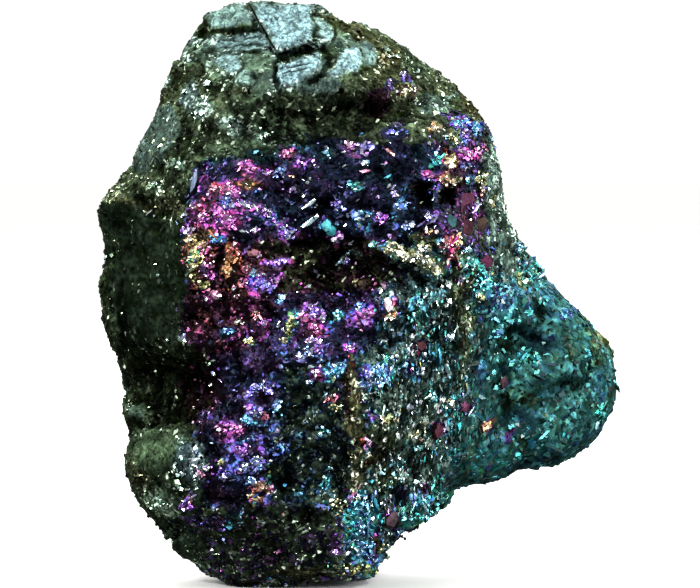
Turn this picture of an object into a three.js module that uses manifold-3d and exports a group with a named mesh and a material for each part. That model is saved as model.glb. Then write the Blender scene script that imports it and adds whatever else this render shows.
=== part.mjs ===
// A rough lump of peacock ore (tarnished bornite), one natural solid, standing on a small flat at its lowest side.
// Millimetres, +Z up. +X runs to the right of the tarnished face, +Y runs into the stone behind it.
import * as THREE from "three";
import { mergeVertices } from "three/addons/utils/BufferGeometryUtils.js";
import { ImprovedNoise } from "three/addons/math/ImprovedNoise.js";
import Module from "manifold-3d";

// Driving dimensions
const DETAIL = 19; // each side of the icosahedron is split into this many steps and one more
const HEART = new THREE.Vector3(-1.4, 0, 13.4); // a point deep in the lump that sees all of its surface
const BLOCKS = 150; // fracture faces spread over the surface
const BLOCK_FLATNESS = 0.85; // 0 leaves the lump rounded, 1 makes each fracture face plane
const GRAIN = 0.16; // height of the coarse grain
const BASE_DROP = 1.2; // how far the uncut lump reaches below the flat that it stands on

// The lump's widest outline, seen square on to the tarnished face: x, z, and the depth y at which the rim lies.
const OUTLINE = [
  [12.0, 12.6, 3.2],
  [11.2, 13.5, 3.2],
  [10.2, 14.3, 3.0],
  [9.6, 15.1, 2.8],
  [8.7, 16.4, 2.4],
  [7.9, 17.7, 2.0],
  [7.4, 19.0, 1.6],
  [7.2, 20.7, 1.4],
  [6.8, 21.6, 1.2],
  [6.7, 22.5, 1.2],
  [6.2, 23.3, 1.2],
  [5.7, 24.0, 1.2],
  [5.0, 24.7, 1.2],
  [4.4, 25.4, 1.2],
  [3.6, 25.8, 1.2],
  [2.8, 26.4, 1.2],
  [2.0, 27.1, 1.2],
  [1.1, 27.3, 1.0],
  [0.1, 27.8, 0.8],
  [-0.9, 28.3, 0.8],
  [-1.9, 28.8, 0.8],
  [-3.1, 28.9, 0.8],
  [-4.1, 28.95, 0.8],
  [-5.3, 28.95, 0.8],
  [-6.4, 28.9, 0.8],
  [-7.4, 28.5, 0.8],
  [-8.2, 27.5, 0.6],
  [-8.9, 26.3, 0.4],
  [-9.5, 25.3, 0.2],
  [-9.9, 24.9, 0.2],
  [-10.2, 23.2, 0],
  [-10.7, 22.4, -0.2],
  [-11.1, 21.5, -0.4],
  [-11.4, 20.7, -0.5],
  [-11.8, 20.0, -0.6],
  [-12.6, 19.4, -0.8],
  [-13.0, 18.5, -1.0],
  [-12.9, 17.7, -1.0],
  [-12.65, 16.8, -1.0],
  [-12.7, 16.1, -1.0],
  [-13.0, 14.9, -1.0],
  [-12.9, 13.8, -1.0],
  [-12.75, 12.6, -1.0],
  [-12.5, 11.6, -1.0],
  [-12.1, 10.5, -1.0],
  [-11.9, 9.6, -1.2],
  [-11.8, 8.6, -1.5],
  [-11.6, 7.4, -1.8],
  [-11.7, 6.0, -2.0],
  [-11.5, 4.9, -2.0],
  [-11.0, 3.8, -1.8],
  [-10.4, 3.1, -1.5],
  [-9.7, 2.7, -1.0],
  [-9.5, 1.6, -0.8],
  [-8.6, 0.9, -0.6],
  [-7.6, 0.3, -0.5],
  [-6.6, -BASE_DROP * 0.5, -0.5],
  [-5.3, -BASE_DROP * 0.8, -0.5],
  [-3.8, -BASE_DROP, -0.5],
  [-2.2, -BASE_DROP, -0.5],
  [-0.8, -BASE_DROP * 0.8, -0.5],
  [0.4, -BASE_DROP * 0.5, -0.5],
  [1.1, 0.35, -0.5],
  [1.5, 1.5, -0.3],
  [2.4, 2.2, 0.2],
  [3.2, 2.9, 0.8],
  [4.2, 3.4, 1.4],
  [4.9, 4.4, 1.9],
  [5.7, 4.7, 2.3],
  [6.7, 4.7, 2.7],
  [7.6, 5.0, 3.0],
  [8.5, 5.3, 3.2],
  [9.6, 5.5, 3.4],
  [10.8, 6.0, 3.5],
  [11.6, 6.6, 3.5],
  [12.3, 7.5, 3.5],
  [12.75, 8.4, 3.5],
  [13.0, 9.4, 3.5],
  [12.9, 10.5, 3.5],
  [12.8, 11.6, 3.3],
];

// Where the front surface lies: x, z, y. It carries the stone's main forms.
const FRONT = [
  // sloping bright cap, highest at the back
  [-2.9, 28.2, -1.6],
  [-6.4, 27.8, -2.2],
  [1.2, 26.4, -2.6],
  [-2.9, 26.0, -5.2],
  [-5.9, 25.4, -5.8],
  [-0.9, 24.3, -7.2],
  [-5.4, 24.0, -7.5],
  [2.1, 24.2, -5.6],
  [4.6, 24.4, -3.6],
  // dark hollow under the cap
  [-4.9, 22.6, -7.0],
  [-1.4, 23.0, -6.8],
  [2.1, 23.2, -6.2],
  // ledge where the tarnished face starts
  [-6.4, 20.6, -8.3],
  [-2.9, 21.3, -8.5],
  [2.1, 22.2, -7.9],
  [5.6, 22.4, -5.4],
  // tarnished face
  [-7.4, 18.0, -8.9],
  [-2.9, 19.0, -9.2],
  [2.1, 19.0, -8.9],
  [5.1, 19.4, -7.4],
  [6.7, 19.0, -4.8],
  [-6.4, 14.5, -9.2],
  [-0.9, 15.8, -8.1],
  [2.6, 16.5, -9.1],
  [5.6, 15.5, -6.8],
  [7.2, 16.0, -3.6],
  [-0.9, 12.3, -9.4],
  [1.4, 10.3, -9.1],
  [-5.9, 11.0, -9.0],
  [3.6, 11.5, -7.6],
  [5.6, 11.5, -5.2],
  [7.1, 11.5, -2.0],
  // upright rib and the side face to its right
  [-5.9, 7.5, -9.2],
  [-2.4, 7.0, -8.5],
  [-0.1, 7.5, -9.5],
  [3.1, 7.5, -7.3],
  [4.9, 7.5, -4.6],
  [6.7, 7.6, -1.4],
  [-5.9, 4.0, -8.7],
  [-2.4, 3.5, -8.1],
  [0.1, 3.0, -8.9],
  [3.1, 3.5, -6.0],
  [-4.4, 1.0, -6.9],
  [-7.9, 2.0, -6.2],
  [0.1, 0.5, -7.4],
  // left face
  [-8.6, 16.0, -8.3],
  [-10.9, 16.0, -5.4],
  [-12.4, 16.0, -3.6],
  [-8.6, 12.5, -7.9],
  [-10.9, 12.5, -4.8],
  [-12.2, 12.5, -3.2],
  // recess, and the rounded lump below it
  [-9.9, 9.0, -5.0],
  [-8.4, 9.0, -7.0],
  [-10.4, 6.0, -6.6],
  [-8.4, 5.5, -7.8],
  [-9.9, 4.0, -6.2],
  // upper left slope
  [-10.4, 22.5, -4.2],
  [-8.4, 23.5, -6.0],
  [-11.6, 20.0, -3.6],
  [-8.9, 20.0, -6.9],
  [-8.4, 27.0, -2.4],
  // lower lobe behind on the right
  [9.1, 14.5, -0.6],
  [11.6, 12.0, -0.2],
  [10.1, 10.0, -1.3],
  [12.1, 9.0, -0.6],
  [9.1, 7.0, -1.4],
  [7.1, 5.5, -1.0],
  [11.1, 7.0, -0.6],
];

// Where the back surface lies: x, z, y.
const BACK = [
  [-3.4, 28.0, 5.4],
  [-8.0, 26.0, 4.4],
  [2.1, 26.0, 5.2],
  [-4.9, 24.0, 6.6],
  [0.1, 23.5, 7.0],
  [4.6, 23.0, 4.8],
  [-10.4, 21.0, 4.6],
  [-6.4, 18.5, 7.9],
  [-1.4, 18.0, 8.6],
  [4.1, 18.5, 7.2],
  [-11.9, 15.0, 4.0],
  [-8.4, 13.5, 7.0],
  [-2.9, 12.0, 8.9],
  [3.1, 13.0, 8.4],
  [7.6, 15.0, 6.6],
  [8.6, 10.0, 8.7],
  [11.6, 11.0, 7.8],
  [-10.9, 8.0, 4.2],
  [-6.4, 7.0, 6.9],
  [-1.4, 6.0, 7.8],
  [4.1, 7.0, 7.9],
  [9.6, 6.5, 8.0],
  [-8.9, 2.5, 2.6],
  [-4.9, 1.0, 4.9],
  [-0.9, 1.0, 4.9],
  [2.6, 3.5, 4.7],
];

// Thin-plate surface y(x, z) through the given points, relaxed a little.
function throughPoints(points, relax) {
  const n = points.length,
    m = n + 3;
  const pull = (r2) => (r2 > 1e-12 ? 0.5 * r2 * Math.log(r2) : 0);
  const a = [];
  for (let i = 0; i < m; i++) a.push(new Float64Array(m + 1));
  for (let i = 0; i < n; i++) {
    const [xi, zi, yi] = points[i];
    for (let j = 0; j < n; j++) {
      const dx = xi - points[j][0],
        dz = zi - points[j][1];
      a[i][j] = pull(dx * dx + dz * dz) + (i === j ? relax : 0);
    }
    a[i][n] = a[n][i] = 1;
    a[i][n + 1] = a[n + 1][i] = xi;
    a[i][n + 2] = a[n + 2][i] = zi;
    a[i][m] = yi;
  }
  for (let c = 0; c < m; c++) {
    let best = c;
    for (let r = c + 1; r < m; r++)
      if (Math.abs(a[r][c]) > Math.abs(a[best][c])) best = r;
    [a[c], a[best]] = [a[best], a[c]];
    for (let r = 0; r < m; r++) {
      if (r === c) continue;
      const k = a[r][c] / a[c][c];
      if (k) for (let j = c; j <= m; j++) a[r][j] -= k * a[c][j];
    }
  }
  const w = a.map((row, i) => row[m] / row[i]);
  return (x, z) => {
    let y = w[n] + w[n + 1] * x + w[n + 2] * z;
    for (let i = 0; i < n; i++) {
      const dx = x - points[i][0],
        dz = z - points[i][1];
      y += w[i] * pull(dx * dx + dz * dz);
    }
    return y;
  };
}

const frontAt = throughPoints(FRONT, 1.5);
const backAt = throughPoints(BACK, 3);

// Radius of the outline, and its rim's depth, in the direction of an angle about the heart.
const rim = OUTLINE.map(([x, z, y]) => ({
  x: x - HEART.x,
  z: z - HEART.z,
  y,
  angle: Math.atan2(z - HEART.z, x - HEART.x),
})).sort((p, q) => p.angle - q.angle);
function rimAt(angle) {
  let i = rim.findIndex((p) => p.angle > angle);
  if (i < 0) i = 0;
  const p = rim[(i + rim.length - 1) % rim.length],
    q = rim[i];
  const c = Math.cos(angle),
    s = Math.sin(angle),
    dx = q.x - p.x,
    dz = q.z - p.z;
  const r = (p.x * dz - p.z * dx) / (c * dz - s * dx);
  const along = THREE.MathUtils.clamp(
    ((c * r - p.x) * dx + (s * r - p.z) * dz) / (dx * dx + dz * dz),
    0,
    1,
  );
  return { r, y: p.y + (q.y - p.y) * along };
}

// Whether a point lies in the rounded lump, before it is broken into faces.
function inside(p) {
  const x = p.x - HEART.x,
    z = p.z - HEART.z;
  const edge = rimAt(Math.atan2(z, x));
  const share = Math.hypot(x, z) / edge.r;
  if (share >= 1) return false;
  const swell = Math.sqrt(1 - share ** 7);
  const front = edge.y + (frontAt(p.x, p.z) - edge.y) * swell;
  const back = edge.y + (backAt(p.x, p.z) - edge.y) * Math.sqrt(1 - share ** 5);
  return p.y > front && p.y < back;
}

// How far the rounded lump reaches from its heart in a direction.
const probe = new THREE.Vector3();
function reach(direction) {
  let low = 2,
    high = 22;
  while (high - low > 0.25) {
    // the first way out, walked in short steps
    const next = low + 0.25;
    if (!inside(probe.copy(direction).multiplyScalar(next).add(HEART))) {
      high = next;
      break;
    }
    low = next;
  }
  for (let i = 0; i < 12; i++) {
    const middle = (low + high) / 2;
    if (inside(probe.copy(direction).multiplyScalar(middle).add(HEART)))
      low = middle;
    else high = middle;
  }
  return (low + high) / 2;
}

// Fracture faces: points spread evenly round the lump, each with the plane that touches the lump there.
const scatter = (i, k) => {
  const v = Math.sin(i * 127.1 + k * 311.7) * 43758.5453;
  return v - Math.floor(v) - 0.5;
};
const blocks = [];
for (let i = 0; i < BLOCKS; i++) {
  const y = 1 - (2 * (i + 0.5)) / BLOCKS,
    turn = i * Math.PI * (3 - Math.sqrt(5)),
    ring = Math.sqrt(1 - y * y);
  const out = new THREE.Vector3(ring * Math.cos(turn), y, ring * Math.sin(turn))
    .add(
      new THREE.Vector3(scatter(i, 1), scatter(i, 2), scatter(i, 3)).multiplyScalar(
        0.16,
      ),
    )
    .normalize();
  const side = new THREE.Vector3(0, 0, 1).cross(out);
  if (side.lengthSq() < 1e-3) side.set(1, 0, 0);
  side.normalize();
  const up = new THREE.Vector3().crossVectors(out, side);
  const at = (a, b) => {
    const d = out.clone().addScaledVector(side, a).addScaledVector(up, b).normalize();
    return d.multiplyScalar(reach(d));
  };
  const e = 0.11;
  const normal = at(e, 0)
    .sub(at(-e, 0))
    .cross(at(0, e).sub(at(0, -e)))
    .normalize();
  if (normal.dot(out) < 0) normal.negate();
  normal
    .add(
      new THREE.Vector3(scatter(i, 4), scatter(i, 5), scatter(i, 6)).multiplyScalar(
        0.3,
      ),
    )
    .normalize();
  blocks.push({ out, normal, foot: out.clone().multiplyScalar(reach(out)) });
}

const noise = new ImprovedNoise();
function grain(p) {
  return (
    noise.noise(p.x * 0.45, p.y * 0.45, p.z * 0.45) +
    0.55 * noise.noise(p.x * 1.1 + 9, p.y * 1.1, p.z * 1.1) +
    0.3 * noise.noise(p.x * 2.4, p.y * 2.4 + 5, p.z * 2.4)
  );
}

function surface(direction) {
  const round = reach(direction);
  const p = direction.clone().multiplyScalar(round);
  // borders between fracture faces wander with a little noise
  const q = p.clone().add(
    new THREE.Vector3(
      noise.noise(p.x * 0.7, p.y * 0.7, p.z * 0.7 + 3),
      noise.noise(p.x * 0.7 + 11, p.y * 0.7, p.z * 0.7),
      noise.noise(p.x * 0.7, p.y * 0.7 + 17, p.z * 0.7),
    ).multiplyScalar(0.7),
  );
  let nearest = blocks[0],
    least = Infinity;
  for (const b of blocks) {
    const d = b.foot.distanceToSquared(q);
    if (d < least) {
      least = d;
      nearest = b;
    }
  }
  const slope = direction.dot(nearest.normal);
  const plane = slope > 0.25 ? nearest.foot.dot(nearest.normal) / slope : round;
  // the widest outline keeps its measured shape
  const facing = THREE.MathUtils.smoothstep(Math.abs(direction.y), 0.05, 0.4);
  const flat = THREE.MathUtils.clamp(plane - round, -0.8, 0.7);
  return (
    round +
    flat * BLOCK_FLATNESS * (0.35 + 0.65 * facing) +
    grain(p) * GRAIN * (0.5 + 0.5 * facing)
  );
}

function lump() {
  const g = new THREE.IcosahedronGeometry(1, DETAIL);
  g.deleteAttribute("normal");
  g.deleteAttribute("uv");
  const merged = mergeVertices(g, 1e-5);
  const at = merged.attributes.position;
  const d = new THREE.Vector3();
  for (let i = 0; i < at.count; i++) {
    d.fromBufferAttribute(at, i).normalize();
    d.multiplyScalar(surface(d)).add(HEART);
    at.setXYZ(i, d.x, d.y, d.z);
  }
  return merged;
}

const wasm = await Module();
wasm.setup();
function solid(geometry) {
  return new wasm.Manifold(
    new wasm.Mesh({
      numProp: 3,
      vertProperties: new Float32Array(geometry.attributes.position.array),
      triVerts: new Uint32Array(geometry.index.array),
    }),
  );
}
function block(width, depth, height, x, y, z) {
  const g = new THREE.BoxGeometry(width, depth, height).translate(x, y, z);
  g.deleteAttribute("normal");
  g.deleteAttribute("uv");
  return mergeVertices(g, 1e-5);
}

// The flat that the stone stands on is where it is cut at z = 0.
const cut = solid(lump()).subtract(solid(block(60, 60, 20, 0, 0, -10)));
const made = cut.getMesh();
const stone = new THREE.BufferGeometry()
  .setAttribute(
    "position",
    new THREE.BufferAttribute(new Float32Array(made.vertProperties), 3),
  )
  .setIndex(new THREE.BufferAttribute(new Uint32Array(made.triVerts), 1));
stone.computeBoundingBox();
const middle = stone.boundingBox.getCenter(new THREE.Vector3());
stone.translate(-middle.x, -middle.y, 0);
stone.computeVertexNormals();

const ore = new THREE.Mesh(
  stone,
  new THREE.MeshStandardMaterial({
    color: 0x3b3a4a,
    roughness: 0.42,
    metalness: 0.8,
    flatShading: true,
  }),
);
ore.name = "peacock_ore";

const group = new THREE.Group();
group.add(ore);
export default group;
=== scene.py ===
import math

import bpy
import numpy as np
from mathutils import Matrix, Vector


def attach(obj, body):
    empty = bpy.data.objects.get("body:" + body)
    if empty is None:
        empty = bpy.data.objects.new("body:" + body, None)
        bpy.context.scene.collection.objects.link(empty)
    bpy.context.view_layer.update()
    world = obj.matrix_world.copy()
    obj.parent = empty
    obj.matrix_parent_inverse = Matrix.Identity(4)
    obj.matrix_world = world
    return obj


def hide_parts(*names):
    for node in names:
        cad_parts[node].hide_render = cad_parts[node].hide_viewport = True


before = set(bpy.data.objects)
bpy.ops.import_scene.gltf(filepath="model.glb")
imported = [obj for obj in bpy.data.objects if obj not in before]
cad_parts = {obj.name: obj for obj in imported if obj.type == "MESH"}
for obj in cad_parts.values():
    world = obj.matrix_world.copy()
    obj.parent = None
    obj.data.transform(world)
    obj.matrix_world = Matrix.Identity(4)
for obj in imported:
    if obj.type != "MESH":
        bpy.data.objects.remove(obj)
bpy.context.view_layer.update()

MM = 0.001

# ---------------------------------------------------------------- camera first
# Features are placed by where they show in the frame, so the camera's numbers come before the shapes.
FRAME_W, FRAME_H = 700.0, 588.0
LENS, SENSOR = 250.0, 36.0
ELEVATION = math.radians(2.0)
SCALE = 20.0  # pixels to a millimetre at the stone's middle
TARGET = np.array([-0.545, 0.27, 14.3])
DISTANCE = LENS / SENSOR * FRAME_W / SCALE
BACK = np.array([0.0, -math.cos(ELEVATION), math.sin(ELEVATION)])  # from target to camera
UP = np.array([0.0, math.sin(ELEVATION), math.cos(ELEVATION)])
EYE = TARGET + BACK * DISTANCE


def seen_at(p):
    """Where points, in millimetres, show in the frame: u to the right and v down, in pixels."""
    d = p - EYE
    depth = -(d @ BACK)
    k = LENS / SENSOR * FRAME_W / depth
    return FRAME_W / 2 + d[:, 0] * k, FRAME_H / 2 - (d @ UP) * k


# ---------------------------------------------------------------- noise
def lattice(i, seed):
    h = (
        i[..., 0].astype(np.uint32) * np.uint32(374761393)
        + i[..., 1].astype(np.uint32) * np.uint32(668265263)
        + i[..., 2].astype(np.uint32) * np.uint32(2246822519)
        + np.uint32((seed * 3266489917) & 0xFFFFFFFF)
    )
    h ^= h >> np.uint32(15)
    h *= np.uint32(2246822519)
    h ^= h >> np.uint32(13)
    h *= np.uint32(3266489917)
    h ^= h >> np.uint32(16)
    return h.astype(np.float64) / 4294967296.0


def noise(p, size, seed=0):
    """Smooth noise from -1 to 1 with features of about this size."""
    q = p / size + 1000.0
    i = np.floor(q).astype(np.int64)
    f = q - i
    f = f * f * f * (f * (f * 6 - 15) + 10)
    total = 0.0
    for dx in (0, 1):
        for dy in (0, 1):
            for dz in (0, 1):
                w = (
                    (f[:, 0] if dx else 1 - f[:, 0])
                    * (f[:, 1] if dy else 1 - f[:, 1])
                    * (f[:, 2] if dz else 1 - f[:, 2])
                )
                total = total + w * lattice(i + np.array([dx, dy, dz]), seed)
    return total * 2 - 1


def fbm(p, size, seed=0, octaves=3, fall=0.5):
    total, weight, share = 0.0, 0.0, 1.0
    for k in range(octaves):
        total = total + share * noise(p, size / 2**k, seed + 17 * k)
        weight += share
        share *= fall
    return total / weight


def cells(p, size, seed=0, stretch=(1, 1, 1)):
    """The nearest scattered point to each p: its number, its distance, and how much further the second one is."""
    q = p / (size * np.array(stretch, float)) + 1000.0
    base = np.floor(q).astype(np.int64)
    first = np.full(len(q), 1e9)
    second = np.full(len(q), 1e9)
    name = np.zeros(len(q), np.int64)
    for dx in (-1, 0, 1):
        for dy in (-1, 0, 1):
            for dz in (-1, 0, 1):
                c = base + np.array([dx, dy, dz])
                at = c + np.stack([lattice(c, seed + s) for s in (1, 2, 3)], 1)
                d = np.linalg.norm(at - q, axis=1)
                near = d < first
                second = np.where(near, first, np.minimum(second, d))
                code = (c[:, 0] * 4099 + c[:, 1]) * 4099 + c[:, 2]
                name = np.where(near, code, name)
                first = np.where(near, d, first)
    return name, first * size, (second - first) * size


def smoothstep(a, b, x):
    t = np.clip((x - a) / (b - a), 0, 1)
    return t * t * (3 - 2 * t)


# ---------------------------------------------------------------- mesh helpers
def refine(v, f, marked):
    """Splits the marked triangles in four, and those beside them so that no gap opens."""
    e = np.sort(
        np.stack([f[:, [0, 1]], f[:, [1, 2]], f[:, [2, 0]]], 1).reshape(-1, 2), axis=1
    )
    key = e[:, 0] * np.int64(len(v)) + e[:, 1]
    keys, inverse = np.unique(key, return_inverse=True)
    inverse = inverse.reshape(-1)
    split = np.zeros(len(keys), bool)
    split[inverse.reshape(-1, 3)[marked].ravel()] = True
    number = np.full(len(keys), -1)
    number[split] = len(v) + np.arange(split.sum())
    ends = np.stack([keys // len(v), keys % len(v)], 1)[split]
    v = np.concatenate([v, v[ends].mean(1)])
    m = number[inverse].reshape(-1, 3)
    out = []
    cut = m >= 0
    count = cut.sum(1)
    out.append(f[count == 0])
    k = count == 3
    a, b, c = f[k].T
    ab, bc, ca = m[k].T
    for t in ((a, ab, ca), (ab, b, bc), (ca, bc, c), (ab, bc, ca)):
        out.append(np.stack(t, 1))
    for s in range(3):
        roll = [s, (s + 1) % 3, (s + 2) % 3]
        k = (count == 1) & cut[:, s]
        a, b, c = f[k][:, roll].T
        ab = m[k][:, s]
        out += [np.stack((a, ab, c), 1), np.stack((ab, b, c), 1)]
        k = (count == 2) & ~cut[:, s]
        a, b, c = f[k][:, roll].T
        bc, ca = m[k][:, (s + 1) % 3], m[k][:, (s + 2) % 3]
        out += [
            np.stack((a, b, bc), 1),
            np.stack((a, bc, ca), 1),
            np.stack((ca, bc, c), 1),
        ]
    return v, np.concatenate(out)


def normals(v, f):
    n = np.cross(v[f[:, 1]] - v[f[:, 0]], v[f[:, 2]] - v[f[:, 0]])
    out = np.stack(
        [
            np.bincount(f.ravel(), np.repeat(n[:, k], 3), minlength=len(v))
            for k in range(3)
        ],
        1,
    )
    return out / np.maximum(np.linalg.norm(out, axis=1, keepdims=True), 1e-12)


def relaxed(v, f, times, share=0.5, values=None):
    """v, or values on it, after each vertex has moved towards the mean of its neighbours."""
    e = np.concatenate([f[:, [0, 1]], f[:, [1, 2]], f[:, [2, 0]]])
    count = np.maximum(np.bincount(e[:, 0], minlength=len(v)), 1)
    x = v if values is None else values
    flat = x.ndim == 1
    x = x.reshape(len(v), -1)
    for _ in range(times):
        mean = np.stack(
            [
                np.bincount(e[:, 0], x[e[:, 1], k], minlength=len(v)) / count
                for k in range(x.shape[1])
            ],
            1,
        )
        x = x + share * (mean - x)
    return x[:, 0] if flat else x


def mesh_object(name, v, f, smooth=False, attributes=None, uv=None):
    """An object from points in millimetres and triangles."""
    me = bpy.data.meshes.new(name)
    me.vertices.add(len(v))
    me.vertices.foreach_set("co", (v * MM).astype(np.float32).ravel())
    me.loops.add(f.size)
    me.loops.foreach_set("vertex_index", f.astype(np.int32).ravel())
    me.polygons.add(len(f))
    me.polygons.foreach_set("loop_start", np.arange(0, f.size, 3, dtype=np.int32))
    me.update(calc_edges=True)
    me.validate(clean_customdata=False)
    me.polygons.foreach_set("use_smooth", np.full(len(f), smooth))
    for key, values in (attributes or {}).items():
        a = me.attributes.new(key, "FLOAT", "POINT")
        a.data.foreach_set("value", values.astype(np.float32))
    if uv is not None:
        layer = me.uv_layers.new(name="OFBake", do_init=False)
        layer.uv.foreach_set("vector", uv.astype(np.float32).ravel())
    ob = bpy.data.objects.new(name, me)
    bpy.context.scene.collection.objects.link(ob)
    return ob


# ---------------------------------------------------------------- the stone's surface
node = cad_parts["peacock_ore"]
raw = np.empty(len(node.data.vertices) * 3, np.float32)
node.data.vertices.foreach_get("co", raw)
raw = raw.reshape(-1, 3).astype(float) / MM
corner = np.empty(len(node.data.loops), np.int32)
node.data.loops.foreach_get("vertex_index", corner)
V, back = np.unique(np.round(raw, 4), axis=0, return_inverse=True)
F = back.reshape(-1)[corner].reshape(-1, 3)
F = F[(F[:, 0] != F[:, 1]) & (F[:, 1] != F[:, 2]) & (F[:, 2] != F[:, 0])]


def facing(v, f, times=6):
    """1 where the surface looks towards the camera, 0 where it looks away."""
    n = relaxed(v, f, times, values=normals(v, f))
    return smoothstep(0.30, -0.10, n[:, 1])


for level in range(2):
    on_base = V[:, 2] < 1e-3
    V, F = refine(V, F, np.ones(len(F), bool))
    on_base = V[:, 2] < 1e-3
    V2 = relaxed(V, F, 3, 0.5)
    V = np.where(on_base[:, None], V, V2)
    V[:, 2] = np.maximum(V[:, 2], 0)

u, v_ = seen_at(V)
front = facing(V, F)


def spot(u, v, cu, cv, ru, rv, turn=0.0, edge=1.0):
    """1 inside an oval patch of the view, falling to 0 round its edge."""
    a = math.radians(turn)
    x, y = u - cu, v - cv
    p = (x * math.cos(a) + y * math.sin(a)) / ru
    q = (-x * math.sin(a) + y * math.cos(a)) / rv
    return smoothstep(1 + 0.5 * edge, 1 - 0.5 * edge, np.hypot(p, q))


# Finer triangles on the bright cap and the tarnished face.
fine = front * np.maximum.reduce(
    [
        spot(u, v_, 290, 60, 115, 62, edge=0.2),
        spot(u, v_, 330, 255, 150, 140, edge=0.2),
        spot(u, v_, 260, 430, 80, 120, edge=0.2),
    ]
)
marked = (fine[F] > 0.5).all(1)
room = (196_000 - len(F)) // 3 - 2500
if marked.sum() > room:
    order = np.argsort(-fine[F].min(1), kind="stable")
    marked = np.zeros(len(F), bool)
    marked[order[:room]] = True
V, F = refine(V, F, marked)

u, v_ = seen_at(V)
front = facing(V, F)
on_base = V[:, 2] < 1e-3
N0 = relaxed(V, F, 4, values=normals(V, F))
N0 /= np.linalg.norm(N0, axis=1, keepdims=True)


def line_gap(u, v, points):
    """Distance, in pixels of the view, to a line through points, and which side."""
    best = np.full(len(u), 1e9)
    side = np.zeros(len(u))
    for (x0, y0), (x1, y1) in zip(points, points[1:]):
        dx, dy = x1 - x0, y1 - y0
        t = np.clip(((u - x0) * dx + (v - y0) * dy) / (dx * dx + dy * dy), 0, 1)
        d = np.hypot(u - x0 - t * dx, v - y0 - t * dy)
        s = (u - x0) * dy - (v - y0) * dx
        side = np.where(d < best, s, side)
        best = np.minimum(best, d)
    return best, np.sign(side)


def line_mask(u, v, points, width):
    d, _ = line_gap(u, v, points)
    return smoothstep(width, width * 0.25, d)


def polygon(u, v, points, soft=3.0):
    """1 inside a many-sided patch of the view, 0 outside, with an edge this many pixels wide."""
    inside = np.zeros(len(u), bool)
    for (x0, y0), (x1, y1) in zip(points, points[1:] + points[:1]):
        if y0 == y1:
            continue
        inside ^= ((y0 > v) != (y1 > v)) & (u < (x1 - x0) * (v - y0) / (y1 - y0) + x0)
    gap, _ = line_gap(u, v, points + points[:1])
    return smoothstep(-soft / 2, soft / 2, np.where(inside, gap, -gap))


def shaken(p, u, v, big=5.0, small=2.5, seed=50):
    """The view's pixels, shifted a little by noise so that outlines come out ragged."""
    w = [noise(p, 1.1, seed + k) * big + noise(p, 0.4, seed + 10 + k) * small for k in range(2)]
    return u + w[0], v + w[1]


uw, vw = shaken(V, u, v_)

LEFT_BLOCK = [(104, 206), (130, 203), (158, 208), (172, 222), (182, 240), (184, 290), (182, 335), (150, 340), (118, 330), (104, 300), (98, 262), (98, 222)]
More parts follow.
